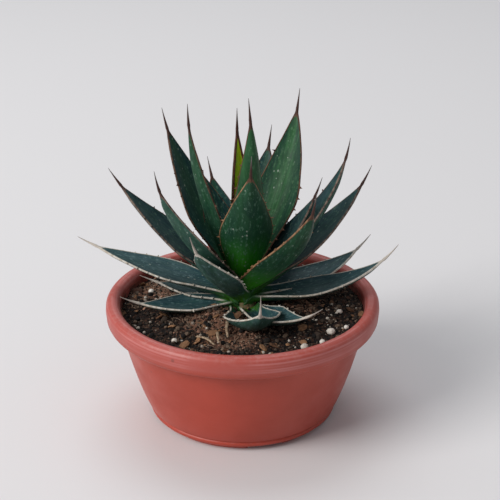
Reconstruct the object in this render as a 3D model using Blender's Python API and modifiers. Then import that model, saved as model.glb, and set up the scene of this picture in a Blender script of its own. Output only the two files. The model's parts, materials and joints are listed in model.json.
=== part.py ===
"""Potted agave: a moulded bowl, its potting mix, and a rosette of separate leaves on a short rooted stem.

Frame: metres, +Z up. The origin is the middle of the bowl's underside, on the surface it stands on.
-Y is the front of the plant. Azimuths are counted from +X towards +Y.
"""
import math
from collections import namedtuple

import bmesh
import bpy
from mathutils import Matrix, Vector, noise
from mathutils.bvhtree import BVHTree

MM = 0.001
GAP = 0.3 * MM  # clearance between pieces that touch
MERGE = 0.02 * MM
WELD = 0.002 * MM

# Bowl
POT_RADIUS = 100 * MM  # outside of the rolled rim
POT_HEIGHT = 91 * MM
POT_WALL = 2.0 * MM
FOOT_RADIUS = 64 * MM
FOOT_HEIGHT = 4 * MM
FOOT_RING_WIDTH = 4 * MM
PAD_RADIUS = 12 * MM  # flat pad in the middle of the underside, level with the foot ring
FOOT_STEP = 2.5 * MM  # how far the wall stands out over the foot
RIM_WIDTH = 10.5 * MM
RIM_DEPTH = 17 * MM
WALL_BULGE = 0.7  # exponent of the wall's curve, below 1 for a full belly
NOTCH_WIDTH = 26 * MM
NOTCH_HEIGHT = 2.2 * MM
NOTCH_AZIMUTHS = (15, 105, 195, 285)
DRAIN_RADIUS = 5 * MM
DRAIN_CIRCLE = 38 * MM
DRAIN_COUNT = 6
POT_STEPS = 40

# Potting mix
SOIL_DROP = 11 * MM  # from the rim's top down to the mix at the wall
SOIL_CROWN = 4 * MM  # the mix rises this much towards the plant
SOIL_BUMPS = 1.2 * MM
FIBRE_MOUND = 5 * MM  # a heap of fibrous mix beside the plant
FIBRE_MOUND_AT = (30 * MM, 225)  # distance from the middle, azimuth
FIBRE_MOUND_SPREAD = 16 * MM
SOIL_RINGS = 6

# Stem and roots
STEM_RADIUS = 12 * MM  # at the potting mix
STEM_TOP_RADIUS = 2.5 * MM
STEM_BURIED = 16 * MM
STEM_RISE = 30 * MM  # stem's top above the potting mix
ROOT_COUNT = 8
ROOT_LENGTH = 50 * MM
ROOT_RADIUS = 1.5 * MM
ROOT_TIP_SHARE = 0.4
BUD_RADIUS = 4.2 * MM
BUD_LENGTH = 56 * MM

# Leaf blades
BLADE_THICKNESS = 4.6 * MM  # at the midrib near the base
MARGIN_THICKNESS = 1.0 * MM  # the hard edge
SPINE_RADIUS = 1.1 * MM
SPINE_LENGTH = 15 * MM
BASE_WIDTH_SHARE = 0.6  # width where the leaf joins the stem, as a share of the widest
CURL_POWER = 1.6  # above 1, a leaf curves more towards its tip
WIDEST_AT = 0.46  # share of the blade's length
BASE_CUP = 110  # degrees that the section bends through at the base
BASE_TUCK = 10 * MM  # how far a leaf's base reaches back and down the stem, which it is trimmed to
BLADE_SECTIONS = 8
ACROSS = (-1.0, -0.55, 0.0, 0.55, 1.0)

# Loose pieces on the potting mix
GRAIN_SIZE = 5.2 * MM
GRAIN_SINK = 0.3  # share of a grain's height that is pressed into the mix
GRAINS = ((75, 327, 1.25), (79, 315, 0.9), (77, 304, 1.1), (83, 309, 0.8),
          (81, 336, 0.75), (72, 229, 0.95), (71, 353, 0.85), (74, 159, 0.9))  # distance in mm, azimuth, scale
STUB_RADIUS = 0.9 * MM
# Dry strips left by old leaves: distance in mm and azimuth of the foot and of the tip, height of the tip in mm
STUBS = ((34, 251, 58, 260, 5), (46, 246, 65, 256, 4), (57, 236, 67, 254, 3))

# rise: degrees above level at the base and at the tip. cup: degrees that the blade's section bends through.
# twist turns the blade about its midrib towards the tip, swing carries its tip round the plant.
Leaf = namedtuple("Leaf", "name azimuth rise tip_rise length width cup twist swing")

# From the innermost leaf to the lowest, as they are set on the stem.
LEAVES = (
    Leaf("leaf_01_inner", 124, 88, 90, 124, 22, 150, 0, 0),
    Leaf("leaf_02_inner", 298, 79, 102, 137, 26, 90, 0, 0),
    Leaf("leaf_03_upright_left", 203, 66, 90, 141, 26, 70, 0, 0),
    Leaf("leaf_04_upright_right", 49, 50, 68, 146, 38, 50, 0, 24),
    Leaf("leaf_05_front", 278, 64, 78, 118, 41, 70, 0, 0),
    Leaf("leaf_06_back_left", 149, 54, 76, 136, 40, 50, 0, 0),
    Leaf("leaf_07_back", 73, 49, 63, 119, 36, 50, 0, 0),
    Leaf("leaf_08_left", 207, 43, 81, 117, 42, 70, 0, 0),
    Leaf("leaf_09_right_front", 312, 34, 84, 118, 46, 70, 0, 0),
    Leaf("leaf_10_back_left", 128, 57, 66, 99, 32, 60, 0, 0),
    Leaf("leaf_11_right", 7, 48, 74, 97, 36, 60, 0, 0),
    Leaf("leaf_12_right", 10, 41, 83, 134, 32, 90, 0, 0),
    Leaf("leaf_13_back", 110, 42, 53, 105, 34, 60, 0, 0),
    Leaf("leaf_14_left", 166, 34, 56, 127, 38, 60, 0, 0),
    Leaf("leaf_15_right", 18, 29, 66, 128, 38, 60, 0, 0),
    Leaf("leaf_16_front_left", 234, 38, 70, 84, 38, 70, 0, 0),
    Leaf("leaf_17_back", 88, 28, 40, 108, 36, 60, 0, 0),
    Leaf("leaf_18_back", 56, 20, 32, 84, 34, 60, 0, 0),
    Leaf("leaf_19_low_left", 169, 12, 26, 122, 36, 60, 0, 0),
    Leaf("leaf_20_low_right", 356, 3, 56, 117, 34, 60, 0, 0),
    Leaf("leaf_21_low_right", 27, -2, 46, 108, 34, 70, 0, 0),
    Leaf("leaf_22_low_back_left", 133, -4, 12, 71, 30, 60, 0, 0),
    Leaf("leaf_23_low_back", 94, 4, 22, 88, 34, 60, 0, 0),
    Leaf("leaf_24_low_left", 196, -3, 32, 84, 32, 70, 0, 0),
    Leaf("leaf_25_low_back_right", 55, -4, 6, 68, 28, 60, 0, 0),
    Leaf("leaf_26_low_left", 162, 4, 16, 72, 28, 70, 0, 0),
    Leaf("leaf_27_low_front_right", 296, 2, 42, 74, 32, 80, 0, 50),
    Leaf("leaf_28_low_front", 281, -4, 98, 78, 46, 90, 0, 0),
)


def soil_level():
    return POT_HEIGHT - SOIL_DROP


def wall_radius(z):
    """Outside radius of the bowl's wall at a height above the foot."""
    share = max(0.0, (z - FOOT_HEIGHT) / (POT_HEIGHT - RIM_DEPTH - FOOT_HEIGHT))
    low = FOOT_RADIUS + FOOT_STEP
    return low + (POT_RADIUS - RIM_WIDTH + POT_WALL * 0.5 - low) * min(share, 1.15) ** WALL_BULGE


def wall_heights(low):
    """Heights at which the wall's curve is drawn, from a low one up to the rim's skirt."""
    high = POT_HEIGHT - RIM_DEPTH
    return [low + (high - low) * share for share in (0.0, 0.06, 0.2, 0.45, 0.72, 1.0)]


def inner_wall():
    """Points (radius, height) up the inside of the wall, from the floor's edge."""
    return [(wall_radius(z) - POT_WALL, z) for z in wall_heights(floor_top())]


def floor_top():
    """Height of the bowl's floor inside."""
    return FOOT_HEIGHT + POT_WALL


def soil_height(x, y):
    """Height of the potting mix, higher towards the plant and slightly uneven."""
    share = min(1.0, math.hypot(x, y) / POT_RADIUS)
    bumps = noise.noise(Vector((x, y, 0.0)) * 60.0) * (1 - share * share)
    away = (Vector((x, y, 0.0)) - on_circle(*FIBRE_MOUND_AT)).length / FIBRE_MOUND_SPREAD
    mound = FIBRE_MOUND * math.exp(-away * away)
    return soil_level() + SOIL_CROWN * math.cos(share * math.pi / 2) ** 2 + mound + SOIL_BUMPS * bumps


def stem_radius(height):
    """Radius of the stem at a height above the potting mix."""
    share = min(1.0, max(0.0, height / STEM_RISE))
    return STEM_RADIUS + (STEM_TOP_RADIUS - STEM_RADIUS) * share ** 0.8


# ---- scene helpers -------------------------------------------------------------------------------

def clear_scene():
    for obj in list(bpy.data.objects):
        bpy.data.objects.remove(obj, do_unlink=True)


def collection(name, parent=None):
    made = bpy.data.collections.new(name)
    (parent or bpy.context.scene.collection).children.link(made)
    return made


def material(name, colour, roughness):
    made = bpy.data.materials.new(name)
    made.use_nodes = True
    shader = made.node_tree.nodes["Principled BSDF"]
    shader.inputs["Base Color"].default_value = (*colour, 1)
    shader.inputs["Roughness"].default_value = roughness
    shader.inputs["Metallic"].default_value = 0.0
    return made


def mesh_object(name, mesh, into, finish=None):
    obj = bpy.data.objects.new(name, mesh)
    into.objects.link(obj)
    if finish:
        mesh.materials.clear()
        mesh.materials.append(finish)
    return obj


def helper(obj):
    """Marks a cutter or a guide, which is no piece of the plant."""
    obj.hide_render = True
    obj.display_type = "WIRE"
    return obj


def evaluated_mesh(obj):
    bpy.context.view_layer.update()
    graph = bpy.context.evaluated_depsgraph_get()
    mesh = bpy.data.meshes.new_from_object(obj.evaluated_get(graph))
    mesh.transform(obj.matrix_world)
    return mesh


def turned_mesh(name, profile, steps):
    """A profile of (radius, height) points, running down its outer side, turned about +Z."""
    mesh = bpy.data.meshes.new(name)
    mesh.from_pydata([(r, 0.0, z) for r, z in profile], [(i, i + 1) for i in range(len(profile) - 1)], [])
    obj = mesh_object(name, mesh, bpy.context.scene.collection)
    screw = obj.modifiers.new("turn", "SCREW")
    screw.steps = screw.render_steps = steps
    screw.use_merge_vertices = True
    screw.merge_threshold = MERGE
    screw.use_smooth_shade = True
    made = evaluated_mesh(obj)
    bpy.data.objects.remove(obj, do_unlink=True)
    return made


def lofted_mesh(name, rings):
    """A closed skin over rings of points, one ring after another, with its ends filled."""
    bm = bmesh.new()
    loops = []
    for ring in rings:
        verts = [bm.verts.new(point) for point in ring]
        loops.append([bm.edges.new((verts[i - 1], verts[i])) for i in range(len(verts))])
    for low, high in zip(loops, loops[1:]):
        bmesh.ops.bridge_loops(bm, edges=low + high)
    bmesh.ops.holes_fill(bm, edges=loops[0] + loops[-1], sides=0)
    bmesh.ops.triangulate(bm, faces=bm.faces, quad_method="FIXED")  # a piece and its clearance fold alike
    bmesh.ops.recalc_face_normals(bm, faces=bm.faces)
    mesh = bpy.data.meshes.new(name)
    bm.to_mesh(mesh)
    bm.free()
    return mesh


def touching(first, second):
    """Whether the surfaces of two objects meet."""
    trees = []
    for obj in (first, second):
        mesh = obj.data
        trees.append(BVHTree.FromPolygons([v.co for v in mesh.vertices], [p.vertices for p in mesh.polygons]))
    return bool(trees[0].overlap(trees[1]))


def carve(obj, tools, operation="DIFFERENCE"):
    """Cuts a mesh with one or more others at once, or joins them to it, and keeps the largest body."""
    batch = bpy.data.collections.new("batch")
    for tool in tools:
        batch.objects.link(tool)
    cut = obj.modifiers.new("cut", "BOOLEAN")
    cut.operation = operation
    cut.operand_type = "COLLECTION"
    cut.collection = batch
    mesh = evaluated_mesh(obj)
    obj.modifiers.remove(cut)
    bpy.data.collections.remove(batch)
    bm = bmesh.new()
    bm.from_mesh(mesh)
    bmesh.ops.triangulate(bm, faces=bm.faces)
    bmesh.ops.remove_doubles(bm, verts=bm.verts, dist=WELD)
    bmesh.ops.dissolve_degenerate(bm, dist=WELD, edges=bm.edges)
    keep_largest_body(bm)
    bm.to_mesh(mesh)
    bm.free()
    finish = obj.data.materials[0] if obj.data.materials else None
    obj.data = mesh
    mesh.materials.clear()
    if finish:
        mesh.materials.append(finish)


def keep_largest_body(bm):
    """Deletes all faces but those of the largest body, counting bodies that meet only at a point as two."""
    unseen = set(bm.faces)
    bodies = []
    while unseen:
        front = [unseen.pop()]
        body = set(front)
        while front:
            face = front.pop()
            for edge in face.edges:
                for other in edge.link_faces:
                    if len(edge.link_faces) == 2 and other in unseen:
                        unseen.remove(other)
                        body.add(other)
                        front.append(other)
        bodies.append(body)
    bodies.sort(key=lambda body: sum(face.calc_area() for face in body))
    for body in bodies[:-1]:
        bmesh.ops.delete(bm, geom=list(body), context="FACES")


# ---- the bowl ------------------------------------------------------------------------------------

def pot_profile():
    """Half section of the bowl, from the floor's middle up the inside, over the rim and down the outside."""
    rim_low = POT_HEIGHT - RIM_DEPTH
    inner_rim = POT_RADIUS - RIM_WIDTH
    half = RIM_WIDTH / 2
    inside = [(0.0, floor_top())] + inner_wall() + [(inner_rim, POT_HEIGHT - half)]
    over = arc((inner_rim + half, POT_HEIGHT - half), half, 150, 30, 4)
    skirt = [(POT_RADIUS, POT_HEIGHT - half * 1.8), (POT_RADIUS - 0.3 * half, rim_low + 0.25 * half),
             (POT_RADIUS - 0.7 * half, rim_low)]
    under = [(POT_RADIUS - 0.75 * half, rim_low + POT_WALL * 0.8),
             (POT_RADIUS - POT_WALL, POT_HEIGHT - half * 1.8),
             (inner_rim + half, POT_HEIGHT - POT_WALL * 1.1),
             (inner_rim + POT_WALL, POT_HEIGHT - half * 1.6)]
    outside = [(wall_radius(z), z) for z in reversed(wall_heights(FOOT_HEIGHT))]
    foot = [(FOOT_RADIUS, FOOT_HEIGHT - 0.4 * MM), (FOOT_RADIUS, 0.0), (FOOT_RADIUS - FOOT_RING_WIDTH, 0.0),
            (FOOT_RADIUS - FOOT_RING_WIDTH, FOOT_HEIGHT), (PAD_RADIUS, FOOT_HEIGHT), (PAD_RADIUS, 0.0),
            (0.0, 0.0)]
    return inside + over + skirt + under + outside + foot


def arc(centre, radius, start, end, count):
    """Points on an arc, in degrees."""
    angles = [math.radians(start + (end - start) * i / (count - 1)) for i in range(count)]
    return [(centre[0] + radius * math.cos(a), centre[1] + radius * math.sin(a)) for a in angles]


def on_circle(radius, azimuth, z=0.0):
    angle = math.radians(azimuth)
    return Vector((radius * math.cos(angle), radius * math.sin(angle), z))


def make_pot(into, cutters, finish):
    pot = mesh_object("pot", turned_mesh("pot", pot_profile(), POT_STEPS), into, finish)
    for azimuth in NOTCH_AZIMUTHS:
        bm = bmesh.new()
        bmesh.ops.create_cube(bm, size=1.0)
        size = Matrix.Diagonal((3 * FOOT_RING_WIDTH, NOTCH_WIDTH, 2 * NOTCH_HEIGHT, 1))
        turn = Matrix.Rotation(math.radians(azimuth), 4, "Z")
        bm.transform(Matrix.Translation(on_circle(FOOT_RADIUS - FOOT_RING_WIDTH / 2, azimuth)) @ turn @ size)
        cut_with(pot, bm, cutters, f"foot_notch_{azimuth}")
    for index in range(DRAIN_COUNT):
        bm = bmesh.new()
        bmesh.ops.create_cone(bm, cap_ends=True, segments=12, radius1=DRAIN_RADIUS, radius2=DRAIN_RADIUS,
                              depth=4 * (FOOT_HEIGHT + POT_WALL))
        bm.transform(Matrix.Translation(on_circle(DRAIN_CIRCLE, 360 * index / DRAIN_COUNT)))
        cut_with(pot, bm, cutters, f"drain_{index}")
    pot.data.set_sharp_from_angle(angle=math.radians(40))
    return pot


def cut_with(obj, bm, cutters, name):
    """Cuts an object with a bmesh, which becomes a hidden cutter."""
    mesh = bpy.data.meshes.new(name)
    bm.to_mesh(mesh)
    bm.free()
    carve(obj, [helper(mesh_object(name, mesh, cutters))])


# ---- potting mix, stem and roots -----------------------------------------------------------------

def make_soil(into, finish):
    wall = inner_wall()
    (low_r, low_z), (high_r, high_z) = wall[-1], (POT_RADIUS - RIM_WIDTH, POT_HEIGHT - RIM_WIDTH / 2)
    at_top = low_r + (high_r - low_r) * (soil_level() - low_z) / (high_z - low_z)
    sides = [(r - 2 * GAP, z + GAP) for r, z in wall] + [(at_top - 2 * GAP, soil_level())]
    edge = sides[-1][0]
    top = [(edge * i / SOIL_RINGS, soil_level()) for i in range(SOIL_RINGS)]
    mesh = turned_mesh("soil", top + list(reversed(sides)) + [(0.0, sides[0][1])], POT_STEPS)
    for vert in mesh.vertices:
        if abs(vert.co.z - soil_level()) < MERGE:
            vert.co.z = soil_height(vert.co.x, vert.co.y)
    return mesh_object("potting_mix", mesh, into, finish)


def stem_profile(grow):
    """Half section of the stem, from its top down its side to its blunt buried end."""
    heights = [STEM_RISE * share for share in (1.0, 0.8, 0.5, 0.2, 0.0)]
    side = [(stem_radius(h) + grow, soil_level() + h + (grow if h == STEM_RISE else 0)) for h in heights]
    buried = soil_level() - STEM_BURIED
    return ([(0.0, side[0][1])] + side
            + [(STEM_RADIUS * 0.9 + grow, buried + 4 * MM), (STEM_RADIUS * 0.5 + grow, buried - grow),
               (0.0, buried - grow)])


def root_mesh(index, grow):
    """One main root, tapering outwards and down into the potting mix."""
    azimuth = 360 * index / ROOT_COUNT + 12 * math.sin(index * 2.3)
    path = bpy.data.curves.new("root", "CURVE")
    path.dimensions = "3D"
    path.bevel_depth = ROOT_RADIUS + grow
    path.bevel_resolution = 1
    path.use_fill_caps = True
    spline = path.splines.new("POLY")
    count = 6
    spline.points.add(count - 1)
    start = soil_level() - STEM_BURIED * 0.6
    for step, point in enumerate(spline.points):
        along = step / (count - 1)
        radius = STEM_RADIUS * 0.5 + ROOT_LENGTH * along
        sink = start - 26 * MM * along ** 1.3 - 5 * MM * math.sin(index * 1.7) * along
        turned = azimuth + 14 * math.sin(3.0 * along + index)
        point.co = (*on_circle(radius + (grow if along == 1 else 0), turned, sink), 1)
        taper = 1 - (1 - ROOT_TIP_SHARE) * along
        point.radius = (ROOT_RADIUS * taper + grow) / (ROOT_RADIUS + grow)
    obj = bpy.data.objects.new("root", path)
    bpy.context.scene.collection.objects.link(obj)
    mesh = evaluated_mesh(obj)
    bpy.data.objects.remove(obj, do_unlink=True)
    bm = bmesh.new()
    bm.from_mesh(mesh)
    bmesh.ops.remove_doubles(bm, verts=bm.verts, dist=MERGE)
    bmesh.ops.recalc_face_normals(bm, faces=bm.faces)
    bm.to_mesh(mesh)
    bm.free()
    return mesh


def make_stem(name, into, finish=None, grow=0.0):
    stem = mesh_object(name, turned_mesh(name, stem_profile(grow), 16), into, finish)
    roots = [mesh_object("root", root_mesh(index, grow), into) for index in range(ROOT_COUNT)]
    carve(stem, roots, "UNION")
    for root in roots:
        bpy.data.objects.remove(root, do_unlink=True)
    return stem


# ---- leaves --------------------------------------------------------------------------------------

def blade_width(share):
    """Width of the blade along its length, as a share of its widest, from the base to the spine."""
    if share > WIDEST_AT:
        return 1 - ((share - WIDEST_AT) / (1 - WIDEST_AT)) ** 1.35
    return BASE_WIDTH_SHARE + (1 - BASE_WIDTH_SHARE) * smooth_step(0.05, 1.0, share / WIDEST_AT)


def smooth_step(low, high, value):
    share = min(1.0, max(0.0, (value - low) / (high - low)))
    return share * share * (3 - 2 * share)


def midrib(leaf, along, start):
    """Place, heading and sideways direction along the midrib, which curls steadily towards the tip."""
    places = []
    point = start.copy()
    steps = 40
    length = leaf.length * MM
    wanted = list(along)
    for step in range(steps + 1):
        share = step / steps
        rise = math.radians(leaf.rise + (leaf.tip_rise - leaf.rise) * share ** CURL_POWER)
        turned = math.radians(leaf.azimuth + leaf.swing * share)
        heading = Vector((math.cos(rise) * math.cos(turned), math.cos(rise) * math.sin(turned), math.sin(rise)))
        side = Vector((math.sin(turned), -math.cos(turned), 0))
        while wanted and share >= wanted[0] - 1e-9:
            places.append((point.copy(), heading.copy(), side))
            wanted.pop(0)
        point = point + heading * (length / steps)
    return places


def leaf_rings(leaf, start, grow=0.0):
    """The leaf's sections, cupped and keeled along the blade and round along the spine."""
    spine_share = SPINE_LENGTH / (leaf.length * MM)
    blade_end = 1 - spine_share
    blade = [blade_end * (i / (BLADE_SECTIONS - 1)) ** 0.9 for i in range(BLADE_SECTIONS)]
    along = blade + [1 - spine_share * 0.5, 1.0]
    rings = []
    for share, (centre, heading, side) in zip(along, midrib(leaf, along, start)):
        in_blade = min(1.0, share / blade_end)
        spine = smooth_step(0.97, 1.0, in_blade)
        side = Matrix.Rotation(math.radians(leaf.twist * share), 3, heading) @ side
        inward = side.cross(heading)
        wide = max(blade_width(in_blade) * leaf.width * MM, 2 * SPINE_RADIUS)
        cup = math.radians(BASE_CUP + (leaf.cup - BASE_CUP) * smooth_step(0.0, 0.5, in_blade))
        thick = (BLADE_THICKNESS - MARGIN_THICKNESS) * (1 - 0.55 * in_blade) * min(1.0, wide / (12 * MM))
        past_blade = max(0.0, (share - blade_end) / spine_share)
        round_radius = SPINE_RADIUS * (1 - 0.8 * past_blade) + grow
        ends = grow * (share == along[-1])
        ring = [centre + heading * ends
                + side * x * (1 - spine) + inward * y * (1 - spine)
                + (side * math.cos(turn) + inward * math.sin(turn)) * round_radius * spine
                for (x, y), turn in zip(section(wide, cup, thick, grow), section_turns())]
        rings.append(ring)
    heading = midrib(leaf, [0.0], start)[0][1]
    back = (Vector((0, 0, -1)) - heading).normalized() * (BASE_TUCK + grow)
    return [[point + back for point in rings[0]]] + rings


def section(wide, cup, thick, grow):
    """One blade section: a cupped upper face and a keeled lower face, as (across, inward) points."""
    bend = wide / max(cup, 0.01)
    upper, lower = [], []
    for across in ACROSS:
        angle = across * cup / 2
        middle = Vector((bend * math.sin(angle), bend * (1 - math.cos(angle))))
        out = Vector((-math.sin(angle), math.cos(angle)))
        sideways = Vector((math.cos(angle), math.sin(angle))) * grow * across
        upper.append(middle + sideways + out * (MARGIN_THICKNESS / 2 + grow))
        lower.append(middle + sideways
                     - out * (MARGIN_THICKNESS / 2 + grow + thick * (1 - abs(across)) ** 0.8))
    return [(p.x, p.y) for p in upper + lower[::-1]]


def section_turns():
    """Angles round a spine section that match the blade section's points."""
    count = 2 * len(ACROSS)
    return [math.pi * (1 - (i + 0.5) / len(ACROSS)) if i < len(ACROSS)
            else -math.pi * (i - len(ACROSS) + 0.5) / len(ACROSS) for i in range(count)]


def leaf_start(index, leaf):
    """Where a leaf leaves the stem: the lower the leaf, the lower and wider its seat."""
    share = 1 - index / (len(LEAVES) - 1)
    height = 3 * MM + (STEM_RISE - 5 * MM) * share
    rise = math.radians(leaf.rise)
    clear = GAP + MARGIN_THICKNESS / 2 * math.sin(rise)
    return on_circle(stem_radius(height) + clear, leaf.azimuth, soil_level() + height)


def bud_mesh(name, grow):
    """The furled young leaves in the heart of the rosette, a slender spike on top of the stem."""
    low = soil_level() + STEM_RISE + GAP
    shares = (1.0, 0.97, 0.8, 0.55, 0.3, 0.1, 0.0)
    side = [(BUD_RADIUS * (1 - share ** 1.6) ** 0.8 + 0.2 * MM * share + grow, low + BUD_LENGTH * share)
            for share in shares]
    top, bottom = (0.0, side[0][1] + grow), (0.0, side[-1][1] - grow)
    side[0] = (side[0][0], side[0][1] + grow)
    side[-1] = (side[-1][0], side[-1][1] - grow)
    return turned_mesh(name, [top] + side + [bottom], 12)


def make_leaves(into, cutters, finishes):
    """Builds the leaves from the heart outwards, each trimmed to clear those it grows around."""
    hearts = [helper(mesh_object("bud_clearance", bud_mesh("bud_clearance", GAP), cutters)),
              helper(make_stem("stem_clearance", cutters, grow=GAP))]
    made = []
    for index, leaf in enumerate(LEAVES):
        start = leaf_start(index, leaf)
        finish = finishes[min(index * len(finishes) // len(LEAVES), len(finishes) - 1)]
        obj = mesh_object(leaf.name, lofted_mesh(leaf.name, leaf_rings(leaf, start)), into, finish)
        met = [inner for inner in hearts if touching(obj, inner)]
        if met:
            carve(obj, met)
        obj.data.set_sharp_from_angle(angle=math.radians(50))
        clearance = lofted_mesh("clearance", leaf_rings(leaf, start, GAP))
        hearts.append(helper(mesh_object(leaf.name + "_clearance", clearance, cutters)))
        made.append(obj)
    return made, hearts


def make_grains(into, cutters, finish):
    """Pumice grains pressed a little into the potting mix."""
    made = []
    for index, (distance, azimuth, scale) in enumerate(GRAINS):
        place = on_circle(distance * MM, azimuth)
        place.z = soil_height(place.x, place.y) + GRAIN_SIZE * scale * (0.5 - GRAIN_SINK) * 0.8
        for grow, into_collection in ((0.0, into), (GAP, cutters)):
            bm = bmesh.new()
            bmesh.ops.create_icosphere(bm, subdivisions=2, radius=1.0)
            half = GRAIN_SIZE * scale / 2
            for vert in bm.verts:
                lumps = 1 + 0.3 * noise.noise(vert.co * 1.3 + Vector((index * 7.0, 0, 0)))
                vert.co *= half * lumps + grow
            bm.transform(Matrix.Translation(place) @ Matrix.Rotation(index * 1.1, 4, "Z")
                         @ Matrix.Diagonal((1.1, 0.95, 0.8, 1)))
            mesh = bpy.data.meshes.new("grain")
            bm.to_mesh(mesh)
            bm.free()
            name = f"pumice_{index + 1}" if grow == 0 else f"pumice_{index + 1}_clearance"
            obj = mesh_object(name, mesh, into_collection, finish)
            if grow:
                made.append(helper(obj))
    return made


def make_stubs(into, cutters, finish):
    """Dry strips left by old leaves, standing a little out of the potting mix."""
    made = []
    for index, (distance, azimuth, far, far_azimuth, rise) in enumerate(STUBS):
        foot, tip = on_circle(distance * MM, azimuth), on_circle(far * MM, far_azimuth)
        for grow, into_collection in ((0.0, into), (GAP, cutters)):
            rings = []
            for step in range(7):
                share = step / 6
                centre = foot.lerp(tip, share)
                level = soil_height(centre.x, centre.y)
                centre.z = level + (rise * MM + STUB_RADIUS) * math.sin(share * 2.2) - STUB_RADIUS * 0.4
                ahead = (tip - foot).normalized()
                side = ahead.cross(Vector((0, 0, 1)))
                radius = STUB_RADIUS * (1.1 - 0.6 * share)
                ends = grow * ((step == 6) - (step == 0))
                rings.append([centre + ahead * ends + side * (radius * 1.5 + grow) * math.cos(turn)
                              + Vector((0, 0, 1)) * (radius * 0.7 + grow) * math.sin(turn)
                              for turn in (math.tau * i / 8 for i in range(8))])
            name = f"dry_strip_{index + 1}" if grow == 0 else f"dry_strip_{index + 1}_clearance"
            obj = mesh_object(name, lofted_mesh(name, rings), into_collection, finish)
            if grow:
                made.append(helper(obj))
    return made


def main():
    clear_scene()
    plant = collection("potted_agave")
    cutters = collection("cutters")
    terracotta = material("terracotta_plastic", (0.42, 0.11, 0.07), 0.5)
    mix = material("potting_mix", (0.05, 0.035, 0.025), 0.95)
    root_skin = material("root_skin", (0.35, 0.25, 0.14), 0.8)
    greens = [material("young_leaf", (0.07, 0.20, 0.05), 0.45), material("leaf", (0.04, 0.13, 0.09), 0.45),
              material("old_leaf", (0.05, 0.13, 0.12), 0.5)]
    pumice = material("pumice", (0.62, 0.58, 0.5), 0.9)
    dry = material("dry_fibre", (0.45, 0.36, 0.24), 0.85)
    make_pot(plant, cutters, terracotta)
    soil = make_soil(plant, mix)
    make_stem("stem_and_roots", plant, root_skin)
    mesh_object("leaf_bud", bud_mesh("leaf_bud", 0.0), plant, greens[0])
    leaves, clearances = make_leaves(plant, cutters, greens)
    clearances += make_grains(plant, cutters, pumice) + make_stubs(plant, cutters, dry)
    carve(soil, [clearance for clearance in clearances if touching(soil, clearance)])


main()
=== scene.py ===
"""Potted agave: the finished looks of the bowl, its mix and the rosette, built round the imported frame.

Metres, +Z up. The origin is the middle of the bowl's underside and -Y is the front of the plant.
Azimuths are counted in degrees from +X towards +Y.
"""
from __future__ import annotations

import json
import logging
import math
from collections.abc import Sequence
from dataclasses import dataclass, field
from enum import Enum

import bmesh
import bpy
import numpy as np
from mathutils import Matrix, Vector, noise

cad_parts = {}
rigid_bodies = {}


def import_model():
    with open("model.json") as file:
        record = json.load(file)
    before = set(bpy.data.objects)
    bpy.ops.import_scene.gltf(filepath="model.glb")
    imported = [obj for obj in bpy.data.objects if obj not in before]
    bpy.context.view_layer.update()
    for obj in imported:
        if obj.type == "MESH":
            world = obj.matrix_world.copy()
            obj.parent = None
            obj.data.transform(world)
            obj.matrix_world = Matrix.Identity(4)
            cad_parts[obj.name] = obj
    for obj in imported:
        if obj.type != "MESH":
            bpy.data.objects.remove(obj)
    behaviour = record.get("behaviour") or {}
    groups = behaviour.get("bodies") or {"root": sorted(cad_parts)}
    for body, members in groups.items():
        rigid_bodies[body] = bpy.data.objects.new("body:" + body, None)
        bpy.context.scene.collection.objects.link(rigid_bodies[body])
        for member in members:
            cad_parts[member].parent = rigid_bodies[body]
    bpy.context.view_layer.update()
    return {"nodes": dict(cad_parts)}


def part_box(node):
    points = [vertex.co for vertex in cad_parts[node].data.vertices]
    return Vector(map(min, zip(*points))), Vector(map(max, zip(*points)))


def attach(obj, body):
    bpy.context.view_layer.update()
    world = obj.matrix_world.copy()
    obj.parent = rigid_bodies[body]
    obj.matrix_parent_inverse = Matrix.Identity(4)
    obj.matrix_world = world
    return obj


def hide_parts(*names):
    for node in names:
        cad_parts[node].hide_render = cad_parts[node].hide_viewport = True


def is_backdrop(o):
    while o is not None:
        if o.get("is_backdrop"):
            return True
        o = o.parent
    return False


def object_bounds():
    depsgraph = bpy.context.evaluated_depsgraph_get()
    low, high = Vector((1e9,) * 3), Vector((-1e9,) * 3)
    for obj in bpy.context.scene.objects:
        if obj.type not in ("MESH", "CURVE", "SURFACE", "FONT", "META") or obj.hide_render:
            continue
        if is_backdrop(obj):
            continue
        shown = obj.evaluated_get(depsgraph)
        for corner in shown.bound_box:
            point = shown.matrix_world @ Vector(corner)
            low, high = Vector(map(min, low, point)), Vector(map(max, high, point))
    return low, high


LOG = logging.getLogger("potted_agave")
MM = 0.001
ROOT = "root"
Colour = tuple[float, float, float]
Socket = bpy.types.NodeSocket


# ---- node trees ----------------------------------------------------------------------------------

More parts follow.
